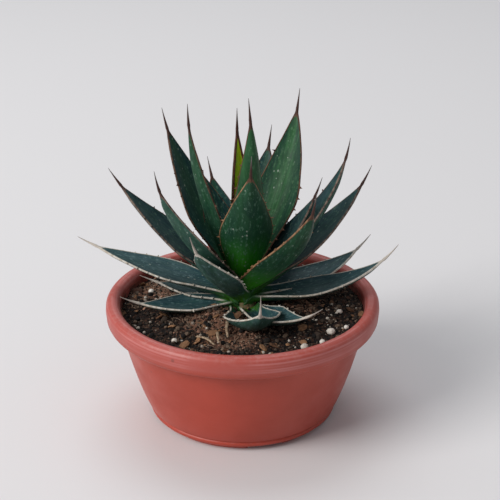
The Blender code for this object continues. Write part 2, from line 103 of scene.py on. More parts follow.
class Graph:
    """Adds nodes to one node tree and links them."""

    def __init__(self, tree: bpy.types.NodeTree) -> None:
        """Keeps the tree that the nodes go into."""
        self.tree = tree

    def node(self, kind: str, inputs: dict | None = None, **settings: object) -> bpy.types.Node:
        """Adds one node.

        Args:
            kind: the node's type name.
            inputs: values or sockets for its inputs, by name or index.
            settings: other properties of the node.

        Returns:
            The new node.
        """
        made = self.tree.nodes.new(kind)
        for name, value in settings.items():
            setattr(made, name, value)
        for key, value in (inputs or {}).items():
            self.put(made.inputs[key], value)
        return made

    def put(self, socket: Socket, value: object) -> None:
        """Links a socket to an input, or sets the input's own value.

        Args:
            socket: the input.
            value: another node's output, or a plain value.
        """
        if isinstance(value, bpy.types.NodeSocket):
            self.tree.links.new(value, socket)
        elif isinstance(value, tuple) and len(value) == 3 and len(getattr(socket, "default_value", ())) == 4:
            socket.default_value = (*value, 1.0)
        else:
            socket.default_value = value

    def math(self, operation: str, a: object, b: object = 0.0, clamp: bool = False) -> Socket:
        """Result of a Math node.

        Args:
            operation: the node's operation.
            a: first value or socket.
            b: second value or socket.
            clamp: whether the result is kept between 0 and 1.

        Returns:
            The result's socket.
        """
        kind = "ShaderNodeMath"
        return self.node(kind, {0: a, 1: b}, operation=operation, use_clamp=clamp).outputs[0]

    def mix(self, factor: object, a: object, b: object, blend: str = "MIX") -> Socket:
        """Blend of two colours.

        Args:
            factor: how much of the second colour.
            a: first colour or socket.
            b: second colour or socket.
            blend: the blending mode.

        Returns:
            The blended colour's socket.
        """
        made = self.node("ShaderNodeMix", data_type="RGBA", blend_type=blend)
        self.put(made.inputs[0], factor)
        self.put(made.inputs[6], a)
        self.put(made.inputs[7], b)
        return made.outputs[2]

    def span(self, value: object, low: float, high: float, start: float = 0.0, end: float = 1.0) -> Socket:
        """Smooth step of a value from one range to another.

        Args:
            value: the value's socket.
            low: where the range starts.
            high: where the range ends.
            start: result at low.
            end: result at high.

        Returns:
            The result's socket.
        """
        made = self.node("ShaderNodeMapRange", {0: value, 1: low, 2: high, 3: start, 4: end},
                         interpolation_type="SMOOTHSTEP")
        return made.outputs[0]

    def noise(self, vector: Socket, scale: float, detail: float = 3.0, rough: float = 0.55,
              distort: float = 0.0) -> Socket:
        """Value of a Noise Texture.

        Args:
            vector: where it is read.
            scale: its scale.
            detail: its octaves.
            rough: how strong the finer octaves are.
            distort: how warped it is.

        Returns:
            The noise value's socket.
        """
        made = self.node("ShaderNodeTexNoise", {"Vector": vector, "Scale": scale, "Detail": detail,
                                                "Roughness": rough, "Distortion": distort})
        return made.outputs[0]

    def cells(self, vector: Socket, scale: float) -> bpy.types.Node:
        """A Voronoi Texture that measures the nearest cell.

        Args:
            vector: where it is read.
            scale: its scale.

        Returns:
            The node, with its Distance and Color outputs.
        """
        return self.node("ShaderNodeTexVoronoi", {"Vector": vector, "Scale": scale}, feature="F1")

    def stretched(self, vector: Socket, scale: Colour) -> Socket:
        """A vector scaled by a different amount along each axis.

        Args:
            vector: the vector's socket.
            scale: factor along each axis.

        Returns:
            The scaled vector's socket.
        """
        return self.node("ShaderNodeMapping", {"Vector": vector, "Scale": scale}).outputs[0]

    def attribute(self, name: str) -> bpy.types.Node:
        """The node that reads a named attribute of the mesh."""
        return self.node("ShaderNodeAttribute", attribute_name=name)

    def group(self, tree: bpy.types.NodeTree, inputs: dict) -> bpy.types.Node:
        """Places a shader node group.

        Args:
            tree: the group.
            inputs: values or sockets for its inputs.

        Returns:
            The group's node.
        """
        made = self.tree.nodes.new("ShaderNodeGroup")
        made.node_tree = tree
        for key, value in inputs.items():
            self.put(made.inputs[key], value)
        return made


def group_tree(name: str, inputs: dict[str, tuple[str, float]], outputs: dict[str, str],
               kind: str = "ShaderNodeTree"
               ) -> tuple[bpy.types.NodeTree, Graph, bpy.types.Node, bpy.types.Node]:
    """Makes an empty node group with named sockets.

    Args:
        name: the group's name.
        inputs: each input's socket type and default value.
        outputs: each output's socket type.
        kind: the tree's type.

    Returns:
        The tree, a graph for it, and its input and output nodes.
    """
    tree = bpy.data.node_groups.new(name, kind)
    for label, (socket, value) in inputs.items():
        made = tree.interface.new_socket(label, in_out="INPUT", socket_type=socket)
        if value is not None:
            made.default_value = value
    for label, socket in outputs.items():
        tree.interface.new_socket(label, in_out="OUTPUT", socket_type=socket)
    graph = Graph(tree)
    return tree, graph, graph.node("NodeGroupInput"), graph.node("NodeGroupOutput")


class SharedEffects:
    """Shader node groups that several finishes use, each built once."""

    def __init__(self) -> None:
        """Builds every group."""
        self.dust = self.build_dust()
        self.lumps = self.build_lumps()
        self.flecks = self.build_flecks()

    @staticmethod
    def build_dust() -> bpy.types.NodeTree:
        """Fine pale dust that settles on faces that look up.

        Returns:
            A group from Vector, Scale and Amount to a Mask.
        """
        tree, graph, given, out = group_tree(
            "settled_dust",
            {"Vector": ("NodeSocketVector", None), "Scale": ("NodeSocketFloat", 400.0),
             "Amount": ("NodeSocketFloat", 0.5)},
            {"Mask": "NodeSocketFloat"})
        up = graph.node("ShaderNodeSeparateXYZ", {0: graph.node("ShaderNodeNewGeometry").outputs["Normal"]})
        facing = graph.span(up.outputs[2], -0.1, 0.9)
        fine = graph.node("ShaderNodeTexNoise", {"Vector": given.outputs["Vector"],
                                                 "Scale": given.outputs["Scale"], "Detail": 5.0})
        patchy = graph.span(fine.outputs[0], 0.42, 0.72)
        mask = graph.math("MULTIPLY", graph.math("MULTIPLY", facing, patchy), given.outputs["Amount"], True)
        graph.put(out.inputs["Mask"], mask)
        return tree

    @staticmethod
    def build_lumps() -> bpy.types.NodeTree:
        """Uneven surface height from two sizes of noise.

        Returns:
            A group from Vector, Coarse, Fine and Balance to a Height between 0 and 1.
        """
        tree, graph, given, out = group_tree(
            "uneven_height",
            {"Vector": ("NodeSocketVector", None), "Coarse": ("NodeSocketFloat", 150.0),
             "Fine": ("NodeSocketFloat", 900.0), "Balance": ("NodeSocketFloat", 0.4)},
            {"Height": "NodeSocketFloat"})
        coarse = graph.node("ShaderNodeTexNoise", {"Vector": given.outputs["Vector"],
                                                   "Scale": given.outputs["Coarse"], "Detail": 4.0})
        fine = graph.node("ShaderNodeTexNoise", {"Vector": given.outputs["Vector"],
                                                 "Scale": given.outputs["Fine"], "Detail": 4.0})
        both = graph.node("ShaderNodeMix", {0: given.outputs["Balance"], 2: coarse.outputs[0],
                                            3: fine.outputs[0]}, data_type="FLOAT")
        graph.put(out.inputs["Height"], both.outputs[0])
        return tree

    @staticmethod
    def build_flecks() -> bpy.types.NodeTree:
        """Scattered round flecks of mixed sizes.

        Returns:
            A group from Vector, Scale, Size and Share to a Mask.
        """
        tree, graph, given, out = group_tree(
            "scattered_flecks",
            {"Vector": ("NodeSocketVector", None), "Scale": ("NodeSocketFloat", 300.0),
             "Size": ("NodeSocketFloat", 0.3), "Share": ("NodeSocketFloat", 0.3)},
            {"Mask": "NodeSocketFloat"})
        cells = graph.node("ShaderNodeTexVoronoi", {"Vector": given.outputs["Vector"],
                                                    "Scale": given.outputs["Scale"], "Randomness": 1.0})
        tone = graph.node("ShaderNodeSeparateColor", {0: cells.outputs["Color"]})
        reach = graph.math("MULTIPLY", given.outputs["Size"], tone.outputs[1])
        near = graph.math("SUBTRACT", 1.0, graph.math("DIVIDE", cells.outputs["Distance"], reach), True)
        chosen = graph.math("LESS_THAN", tone.outputs[0], given.outputs["Share"])
        graph.put(out.inputs["Mask"], graph.math("MULTIPLY", graph.span(near, 0.05, 0.5), chosen))
        return tree


class Finish:
    """Base of every finish: a material with one Principled shader and a bump."""

    name = "finish"
    roughness = 0.5
    specular = 0.5
    coat = 0.0
    sheen = 0.0
    bump_distance = 0.3 * MM
    bump_strength = 0.5

    def start(self) -> tuple[bpy.types.Material, Graph, bpy.types.Node]:
        """Makes the material with its constant values set on the shader.

        Returns:
            The material, a graph for its tree, and its shader node.
        """
        made = bpy.data.materials.new(self.name)
        made.use_nodes = True
        graph = Graph(made.node_tree)
        shader = made.node_tree.nodes["Principled BSDF"]
        shader.inputs["Roughness"].default_value = self.roughness
        shader.inputs["Specular IOR Level"].default_value = self.specular
        shader.inputs["Coat Weight"].default_value = self.coat
        shader.inputs["Sheen Weight"].default_value = self.sheen
        return made, graph, shader

    def bump(self, graph: Graph, shader: bpy.types.Node, height: Socket) -> None:
        """Feeds a height into the shader's normal.

        Args:
            graph: the material's graph.
            shader: its shader.
            height: the height's socket.
        """
        made = graph.node("ShaderNodeBump", {"Strength": self.bump_strength, "Distance": self.bump_distance,
                                             "Height": height})
        graph.put(shader.inputs["Normal"], made.outputs[0])

    def build(self, effects: SharedEffects) -> bpy.types.Material:
        """Makes the material.

        Args:
            effects: the shared node groups.

        Returns:
            The material.
        """
        raise NotImplementedError


@dataclass(frozen=True)
class PlasticFinish(Finish):
    """Terracotta-red moulded plastic with faint flow lines, dust, soil smudges and a paler rim that is partly
    wear and partly a painted highlight.
    """

    name: str = "terracotta_plastic"
    colour: Colour = (0.42, 0.050, 0.026)
    rim_sheen_and_wear: Colour = (0.41, 0.078, 0.062)
    streak: Colour = (0.62, 0.24, 0.23)
    soil: Colour = (0.05, 0.03, 0.022)
    roughness: float = 0.42
    specular: float = 0.5
    bump_strength: float = 0.25
    bump_distance: float = 0.2 * MM
    rim_from: float = 76 * MM

    def build(self, effects: SharedEffects) -> bpy.types.Material:
        """Makes the plastic.

        Args:
            effects: the shared node groups.

        Returns:
            The material.
        """
        made, graph, shader = self.start()
        place = graph.node("ShaderNodeTexCoord").outputs["Object"]
        parts = graph.node("ShaderNodeSeparateXYZ", {0: place})
        cloud = graph.noise(place, 22.0, 4.0)
        base = graph.mix(graph.span(cloud, 0.35, 0.7), self.colour, tuple(c * 0.86 for c in self.colour))
        # The rim band takes a paler, greyer red in cloudy patches: partly wear, partly a painted highlight of
        # the lit rim.
        on_rim = graph.span(parts.outputs[2], self.rim_from, self.rim_from + 5 * MM)
        cloudy = graph.span(graph.noise(place, 60.0, 5.0), 0.2, 0.75, 0.55, 1.0)
        faded = graph.math("MULTIPLY", on_rim, cloudy)
        base = graph.mix(faded, base, self.rim_sheen_and_wear)
        across = graph.node("ShaderNodeVectorMath", {0: graph.stretched(place, (1.0, 1.0, 0.0))},
                            operation="LENGTH").outputs["Value"]
        turning = graph.node("ShaderNodeCombineXYZ", {0: graph.math("MULTIPLY", across, 900.0),
                                                      1: graph.math("MULTIPLY", parts.outputs[2], 900.0),
                                                      2: graph.noise(place, 14.0, 2.0)}).outputs[0]
        scuffs = graph.noise(turning, 1.0, 4.0)
        in_patches = graph.span(graph.noise(place, 24.0), 0.35, 0.6)
        rubbed = graph.math("MULTIPLY", graph.span(scuffs, 0.44, 0.62), in_patches)
        rubbed = graph.math("MULTIPLY", rubbed, on_rim)
        base = graph.mix(graph.math("MULTIPLY", rubbed, 0.42), base, self.streak)
        dust = graph.group(effects.dust, {"Vector": place, "Scale": 320.0, "Amount": 0.16})
        base = graph.mix(dust.outputs["Mask"], base, (0.52, 0.34, 0.32))
        smudge = graph.group(effects.flecks, {"Vector": place, "Scale": 170.0, "Size": 0.35, "Share": 0.04})
        base = graph.mix(graph.math("MULTIPLY", smudge.outputs["Mask"], 0.4), base, self.soil)
        # Darkens the inside of the bowl towards the soil colour in noisy patches.
        inner_darkening = graph.math("MULTIPLY", graph.attribute("inner").outputs["Fac"],
                           graph.span(graph.noise(place, 130.0, 5.0), 0.3, 0.62))
        base = graph.mix(graph.math("MULTIPLY", inner_darkening, 0.75), base, self.soil)
        graph.put(shader.inputs["Base Color"], base)
        rough = graph.span(graph.noise(place, 45.0, 5.0), 0.25, 0.75,
                           self.roughness - 0.07, self.roughness + 0.12)
        graph.put(shader.inputs["Roughness"], rough)
        lines = graph.noise(graph.stretched(place, (6.0, 6.0, 420.0)), 1.0, 3.0)
        grain = graph.group(effects.lumps, {"Vector": place, "Coarse": 260.0, "Fine": 1500.0, "Balance": 0.6})
        height = graph.math("ADD", graph.math("ADD", lines, graph.math("MULTIPLY", scuffs, 0.5)),
                            grain.outputs["Height"])
        self.bump(graph, shader, height)
        return made


@dataclass(frozen=True)
class SoilFinish(Finish):
    """Dark gritty potting mix, browner and drier on the fibrous heap."""

    name: str = "potting_mix"
    dark: Colour = (0.007, 0.005, 0.005)
    brown: Colour = (0.075, 0.034, 0.020)
    dry: Colour = (0.25, 0.13, 0.085)
    roughness: float = 0.95
    specular: float = 0.25
    bump_strength: float = 1.0
    bump_distance: float = 1.1 * MM

    def build(self, effects: SharedEffects) -> bpy.types.Material:
        """Makes the soil.

        Args:
            effects: the shared node groups.

        Returns:
            The material.
        """
        made, graph, shader = self.start()
        place = graph.node("ShaderNodeTexCoord").outputs["Object"]
        dry = graph.attribute("dry").outputs["Fac"]
        crumbs = graph.cells(place, 520.0)
        tone = graph.node("ShaderNodeSeparateColor", {0: crumbs.outputs["Color"]})
        base = graph.mix(graph.math("POWER", tone.outputs[0], 3.0), self.dark, self.brown)
        tan = graph.mix(graph.noise(place, 260.0, 6.0), self.brown, self.dry)
        grainy = graph.math("MULTIPLY", graph.noise(place, 210.0, 6.0), 0.5)
        patch = graph.span(graph.math("ADD", dry, grainy),
                           0.45, 0.9)
        base = graph.mix(patch, base, tan)
        grit = graph.group(effects.flecks, {"Vector": place, "Scale": 560.0, "Size": 0.45, "Share": 0.1})
        base = graph.mix(graph.math("MULTIPLY", grit.outputs["Mask"], 0.8), base, (0.33, 0.27, 0.21))
        graph.put(shader.inputs["Base Color"], base)
        lumps = graph.group(effects.lumps, {"Vector": place, "Coarse": 240.0, "Fine": 1100.0, "Balance": 0.4})
        height = graph.math("SUBTRACT", lumps.outputs["Height"],
                            graph.math("MULTIPLY", crumbs.outputs["Distance"], 0.7))
        self.bump(graph, shader, height)
        return made


@dataclass(frozen=True)
class GrainFinish(Finish):
    """Loose grains and chips, each with its own tone from light to dark."""

    name: str = "grains"
    light: Colour = (0.2, 0.12, 0.07)
    dark: Colour = (0.03, 0.018, 0.012)
    roughness: float = 0.9
    specular: float = 0.3
    pores: float = 900.0
    bump_strength: float = 0.8
    bump_distance: float = 0.4 * MM
    soiled: float = 0.35
    rarity: float = 1.0

    def build(self, effects: SharedEffects) -> bpy.types.Material:
        """Makes the grains' material.

        Args:
            effects: the shared node groups.

        Returns:
            The material.
        """
        made, graph, shader = self.start()
        place = graph.node("ShaderNodeTexCoord").outputs["Object"]
        tone = graph.math("POWER", graph.attribute("tone").outputs["Fac"], self.rarity)
        base = graph.mix(tone, self.dark, self.light)
        stain = graph.span(graph.noise(place, 620.0, 5.0), 0.42, 0.68)
        base = graph.mix(graph.math("MULTIPLY", stain, self.soiled), base, tuple(c * 0.35 for c in self.dark))
        graph.put(shader.inputs["Base Color"], base)
        lumps = graph.group(effects.lumps, {"Vector": place, "Coarse": self.pores, "Fine": self.pores * 3.5,
                                            "Balance": 0.5})
        self.bump(graph, shader, lumps.outputs["Height"])
        return made


@dataclass(frozen=True)
class FibreFinish(Finish):
    """Dry plant fibre, streaked along its length."""

    name: str = "dry_fibre"
    light: Colour = (0.52, 0.41, 0.29)
    dark: Colour = (0.17, 0.10, 0.055)
    roughness: float = 0.85
    specular: float = 0.3
    bump_strength: float = 0.7
    bump_distance: float = 0.25 * MM

    def build(self, effects: SharedEffects) -> bpy.types.Material:
        """Makes the fibre.

        Args:
            effects: the shared node groups.

        Returns:
            The material.
        """
        made, graph, shader = self.start()
        place = graph.node("ShaderNodeTexCoord").outputs["Object"]
        streaks = graph.noise(graph.stretched(place, (900.0, 160.0, 900.0)), 1.0, 5.0, 0.6, 0.8)
        patches = graph.noise(place, 190.0, 4.0)
        base = graph.mix(graph.span(streaks, 0.3, 0.7), self.dark, self.light)
        base = graph.mix(graph.math("MULTIPLY", graph.span(patches, 0.5, 0.75), 0.7), base, self.dark)
        graph.put(shader.inputs["Base Color"], base)
        self.bump(graph, shader, streaks)
        return made


@dataclass(frozen=True)
class LeafFinish(Finish):
    """Waxy leaf skin with its horny edge, read from the leaf's own lengthwise and crosswise attributes."""

    name: str = "leaf"
    upper: Colour = (0.006, 0.040, 0.043)
    lower: Colour = (0.013, 0.055, 0.024)
    base: Colour = (0.045, 0.17, 0.006)
    centre: Colour = (0.014, 0.066, 0.026)
    bloom: Colour = (0.15, 0.23, 0.25)
    bloom_amount: float = 0.05
    edge: Colour = (0.42, 0.38, 0.33)
    edge_dark: Colour = (0.13, 0.05, 0.03)
    spine: Colour = (0.055, 0.025, 0.02)
    tip: Colour = (0.16, 0.145, 0.14)
    freckle: Colour = (0.11, 0.21, 0.15)
    mottled: float = 0.5
    base_reach: float = 0.28
    roughness: float = 0.46
    specular: float = 0.16
    bump_strength: float = 0.35
    bump_distance: float = 0.25 * MM

    def build(self, effects: SharedEffects) -> bpy.types.Material:
        """Makes the leaf's skin.

        Args:
            effects: the shared node groups.

        Returns:
            The material.
        """
        made, graph, shader = self.start()
        surface = graph.attribute("surface").outputs["Vector"]
        along = graph.attribute("along").outputs["Fac"]
        under = graph.attribute("under").outputs["Fac"]
        horn = graph.attribute("horn").outputs["Fac"]
        middle = graph.attribute("middle").outputs["Fac"]
        skin = self.skin(graph, effects, surface, along, under, middle)
        graph.put(shader.inputs["Base Color"], graph.mix(horn, skin, self.horn(graph, surface, along)))
        smooth = graph.span(graph.noise(graph.stretched(surface, (0.3, 0.05, 1.0)), 1.0, 4.0), 0.3, 0.7,
                            self.roughness - 0.06, self.roughness + 0.1)
        rough = graph.node("ShaderNodeMix", {0: horn, 2: smooth, 3: 0.55}, data_type="FLOAT")
        graph.put(shader.inputs["Roughness"], rough.outputs[0])
        ribs = graph.noise(graph.stretched(surface, (1.5, 0.035, 1.0)), 1.0, 3.0)
        pits = graph.noise(surface, 1.1, 5.0)
        height = graph.math("ADD", graph.math("MULTIPLY", ribs, 0.8), graph.math("MULTIPLY", pits, 0.35))
        self.bump(graph, shader, height)
        return made

    def skin(self, graph: Graph, effects: SharedEffects, surface: Socket, along: Socket, under: Socket,
             middle: Socket) -> Socket:
        """Colour of the leaf away from its horny edge.

        Args:
            graph: the material's graph.
            effects: the shared node groups.
            surface: place on the leaf in millimetres, across and along.
            along: share of the blade's length from its base.
            under: 0 on the upper face and 1 on the lower one.
            middle: 1 on the midrib, falling to 0 at the edges.

        Returns:
            The colour's socket.
        """
        streaks = graph.noise(graph.stretched(surface, (0.55, 0.03, 1.0)), 1.0, 4.0)
        cloudy = graph.noise(graph.stretched(surface, (0.12, 0.06, 1.0)), 1.0, 4.0)
        # Towards the midrib the upper face takes the centre colour; on the painted-lit-middle leaves that
        # bright colour is painted light down the middle of the blade.
        top = graph.mix(graph.math("MULTIPLY", graph.span(middle, 0.2, 1.0), 0.7), self.upper, self.centre)
        colour = graph.mix(under, top, self.lower)
        paler, darker = tuple(c * 2.2 for c in self.lower), tuple(c * 0.55 for c in self.upper)
        colour = graph.mix(graph.span(streaks, 0.4, 0.8, 0.0, 0.5), colour, paler)
        colour = graph.mix(graph.span(cloudy, 0.4, 0.75, 0.0, 0.5), colour, darker)
        young = graph.math("ADD", along, graph.math("MULTIPLY", graph.math("SUBTRACT", streaks, 0.5), 0.16))
        fresh = graph.span(young, self.base_reach, 0.02)
        fresh = graph.math("MULTIPLY", fresh, graph.span(middle, -0.2, 0.7, 0.35, 1.0))
        colour = graph.mix(fresh, colour, self.base)
        waxy = graph.noise(graph.stretched(surface, (0.25, 0.12, 1.0)), 1.0, 5.0)
        bloom = graph.math("MULTIPLY", graph.span(waxy, 0.3, 0.75), self.bloom_amount)
        bloom = graph.math("MULTIPLY", bloom, graph.span(young, 0.12, 0.5, 0.1, 1.0))
        colour = graph.mix(bloom, colour, self.bloom)
        mottle = graph.noise(graph.stretched(surface, (0.62, 0.22, 1.0)), 1.0, 6.0, 0.72)
        drawn = graph.noise(graph.stretched(surface, (0.09, 0.05, 1.0)), 1.0, 2.0)
        patchy = graph.span(drawn, 0.35, 0.65, 0.35, 1.0)
        mottle = graph.math("MULTIPLY", graph.span(mottle, 0.53, 0.64), patchy)
        colour = graph.mix(graph.math("MULTIPLY", mottle, self.mottled), colour, self.freckle)
        freckles = graph.group(effects.flecks, {"Vector": graph.stretched(surface, (1.0, 0.55, 1.0)),
                                                "Scale": 0.55, "Size": 0.62, "Share": 0.34})
        colour = graph.mix(graph.math("MULTIPLY", freckles.outputs["Mask"], 0.45), colour, self.freckle)
        spots = graph.group(effects.flecks, {"Vector": graph.stretched(surface, (1.0, 0.7, 1.0)),
                                             "Scale": 0.33, "Size": 0.3, "Share": 0.45})
        warped = graph.math("MULTIPLY", spots.outputs["Mask"], graph.span(streaks, 0.35, 0.6))
        return graph.mix(graph.math("MULTIPLY", warped, 0.65), colour, (0.40, 0.46, 0.40))

    def horn(self, graph: Graph, surface: Socket, along: Socket) -> Socket:
        """Colour of the horny edge, its teeth and the spine.

        Args:
            graph: the material's graph.
            surface: place on the leaf in millimetres, across and along.
            along: share of the blade's length from its base, above 1 on the spine.

        Returns:
            The colour's socket.
        """
        patchy = graph.noise(graph.stretched(surface, (0.5, 0.22, 1.0)), 1.0, 4.0)
        edge = graph.mix(graph.span(patchy, 0.38, 0.68), self.edge, self.edge_dark)
        tip = graph.mix(graph.span(along, 1.04, 1.14), self.spine, self.tip)
        return graph.mix(graph.span(along, 0.9, 1.0), edge, tip)


# ---- meshes --------------------------------------------------------------------------------------

@dataclass
class Skin:
    """Points, faces and point attributes of a mesh in the making."""

    points: np.ndarray
    faces: list[tuple[int, ...]]
    attributes: dict[str, np.ndarray] = field(default_factory=dict)

    def to_object(self, name: str, smooth: bool = True) -> bpy.types.Object:
        """Makes the mesh object.

        Args:
            name: the object's name.
            smooth: whether its faces are shaded smooth.

        Returns:
            The object, linked to the scene, at the origin.
        """
        mesh = bpy.data.meshes.new(name)
        mesh.from_pydata(self.points.tolist(), [], self.faces)
        for label, values in self.attributes.items():
            vector = values.ndim == 2
            layer = mesh.attributes.new(label, "FLOAT_VECTOR" if vector else "FLOAT", "POINT")
            layer.data.foreach_set("vector" if vector else "value", values.astype(np.float32).ravel())
        mesh.polygons.foreach_set("use_smooth", [smooth] * len(mesh.polygons))
        mesh.validate()
        return link(bpy.data.objects.new(name, mesh))


def link(obj: bpy.types.Object) -> bpy.types.Object:
    """Puts an object into the scene and returns it."""
    bpy.context.scene.collection.objects.link(obj)
    return obj


def baked(obj: bpy.types.Object, name: str) -> bpy.types.Object:
    """Turns an object with its modifiers into a plain mesh object.

    Args:
        obj: the object, which is removed.
        name: the new object's name.

    Returns:
        The plain mesh object.
    """
    bpy.context.view_layer.update()
    graph = bpy.context.evaluated_depsgraph_get()
    mesh = bpy.data.meshes.new_from_object(obj.evaluated_get(graph))
    bpy.data.objects.remove(obj, do_unlink=True)
    mesh.name = name
    return link(bpy.data.objects.new(name, mesh))


def turned(name: str, profile: Sequence[tuple[float, float]], steps: int) -> bpy.types.Object:
    """Turns a half section about +Z.

    Args:
        name: the object's name.
        profile: points (radius, height) that run down the outer side.
        steps: divisions of the full turn.

    Returns:
        The turned object.
    """
    mesh = bpy.data.meshes.new(name)
    mesh.from_pydata([(r, 0.0, z) for r, z in profile], [(i, i + 1) for i in range(len(profile) - 1)], [])
    obj = link(bpy.data.objects.new(name + "_profile", mesh))
    screw = obj.modifiers.new("turn", "SCREW")
    screw.steps = screw.render_steps = steps
    screw.use_merge_vertices = True
    screw.merge_threshold = 0.01 * MM
    return baked(obj, name)


def arc(centre: tuple[float, float], radius: float, start: float, end: float, count: int
        ) -> list[tuple[float, float]]:
    """Points on an arc.

    Args:
        centre: the arc's centre.
        radius: its radius.
        start: first angle in degrees.
        end: last angle in degrees.
        count: number of points.

    Returns:
        The points.
    """
    angles = [math.radians(start + (end - start) * i / (count - 1)) for i in range(count)]
    return [(centre[0] + radius * math.cos(a), centre[1] + radius * math.sin(a)) for a in angles]


def on_circle(radius: float, azimuth: float, z: float = 0.0) -> Vector:
    """Point at a distance from the bowl's axis and an azimuth in degrees."""
    angle = math.radians(azimuth)
    return Vector((radius * math.cos(angle), radius * math.sin(angle), z))


def dress(obj: bpy.types.Object, material: bpy.types.Material) -> None:
    """Gives an object one material in place of any it has."""
    obj.data.materials.clear()
    obj.data.materials.append(material)


def settle(obj: bpy.types.Object, slot: str, *nodes: str) -> None:
    """Attaches a finished piece to the root body and hides the frame's parts that it stands for.

    Args:
        obj: the piece.
        slot: the record's material slot; not used.
        nodes: the frame's nodes that it stands for.
    """
    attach(obj, ROOT)
    if nodes:
        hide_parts(*nodes)
    LOG.info("%s: %d faces", obj.name, len(obj.data.polygons))


def smooth_step(low: float, high: float, value: np.ndarray | float) -> np.ndarray | float:
    """Smooth rise from 0 at low to 1 at high."""
    share = np.clip((value - low) / (high - low), 0.0, 1.0)
    return share * share * (3 - 2 * share)


# ---- geometry node trees -------------------------------------------------------------------------

class NodeTool:
    """A Geometry Nodes tree with named inputs, applied to an object as a plain mesh."""

    def __init__(self, name: str, inputs: dict[str, tuple[str, object]]) -> None:
        """Starts the tree.

        Args:
            name: the tree's name.
            inputs: socket type and default of each named input.
        """
        sockets = {"Geometry": ("NodeSocketGeometry", None), **inputs}
        made = group_tree(name, sockets, {"Geometry": "NodeSocketGeometry"}, "GeometryNodeTree")
        self.tree, self.graph, self.given, self.out = made

    def apply(self, obj: bpy.types.Object, name: str, values: dict[str, object]) -> bpy.types.Object:
        """Runs the tree on an object and keeps the result as a plain mesh.

        Args:
            obj: the object, which is removed.
            name: the result's name.
            values: value of each named input.

        Returns:
            The plain mesh object.
        """
        modifier = obj.modifiers.new("nodes", "NODES")
        modifier.node_group = self.tree
        for item in self.tree.interface.items_tree:
            if item.item_type == "SOCKET" and item.in_out == "INPUT" and item.name in values:
                modifier[item.identifier] = values[item.name]
        return baked(obj, name)

    def named(self, name: str, kind: str = "FLOAT") -> Socket:
        """Output of a node that reads a named attribute."""
        return self.graph.node("GeometryNodeInputNamedAttribute", {"Name": name}, data_type=kind).outputs[0]

    def random(self, low: float, high: float, seed: Socket, offset: int) -> Socket:
        """A random value for each element.

        Args:
            low: lowest value.
            high: highest value.
            seed: the tree's seed.
            offset: added to the seed, so that two values differ.

        Returns:
            The value's socket.
        """
        mixed = self.graph.math("ADD", seed, float(offset))
        return self.graph.node("FunctionNodeRandomValue", {2: low, 3: high, "Seed": mixed},
                               data_type="FLOAT").outputs[1]


class ToothTool(NodeTool):
    """Sets small hooked teeth along the marked edges of a leaf."""

    def __init__(self) -> None:
        """Builds the tree."""
        super().__init__("edge_teeth", {
            "Spacing": ("NodeSocketFloat", 9 * MM), "Length": ("NodeSocketFloat", 1.6 * MM),
            "Width": ("NodeSocketFloat", 0.9 * MM), "Seed": ("NodeSocketInt", 1),
            "Material": ("NodeSocketMaterial", None)})
        graph, given = self.graph, self.given
        marked = graph.math("GREATER_THAN", self.named("toothed"), 0.5)
        line = graph.node("GeometryNodeMeshToCurve", {"Mesh": given.outputs["Geometry"], "Selection": marked})
        places = graph.node("GeometryNodeResampleCurve",
                            {"Curve": line.outputs[0], "Length": given.outputs["Spacing"]}, mode="LENGTH")
        tooth = graph.node("GeometryNodeMeshCone",
                           {"Vertices": 6, "Side Segments": 3, "Radius Top": 0.04 * MM,
                            "Radius Bottom": given.outputs["Width"], "Depth": given.outputs["Length"]})
        slim = graph.node("GeometryNodeTransform",
                          {"Geometry": tooth.outputs["Mesh"], "Scale": (0.5, 1.0, 1.0)})
        outward = graph.node("FunctionNodeAlignRotationToVector",
                             {"Vector": self.named("outward", "FLOAT_VECTOR")}, axis="Z")
        size = self.random(0.55, 1.1, given.outputs["Seed"], 3)
        keep = graph.math("GREATER_THAN", self.random(0.0, 1.0, given.outputs["Seed"], 9), 0.12)
        teeth = graph.node("GeometryNodeInstanceOnPoints",
                           {"Points": places.outputs[0], "Selection": keep, "Instance": slim.outputs[0],
                            "Rotation": outward.outputs[0], "Scale": size})
        real = graph.node("GeometryNodeRealizeInstances", {"Geometry": teeth.outputs[0]})
        horny = graph.node("GeometryNodeStoreNamedAttribute",
                           {"Geometry": real.outputs[0], "Name": "horn", "Value": 1.0})
        joined = graph.node("GeometryNodeJoinGeometry")
        graph.put(joined.inputs[0], horny.outputs[0])
        graph.put(joined.inputs[0], given.outputs["Geometry"])
        dressed = graph.node("GeometryNodeSetMaterial",
                             {"Geometry": joined.outputs[0], "Material": given.outputs["Material"]})
        graph.put(self.out.inputs[0], dressed.outputs[0])


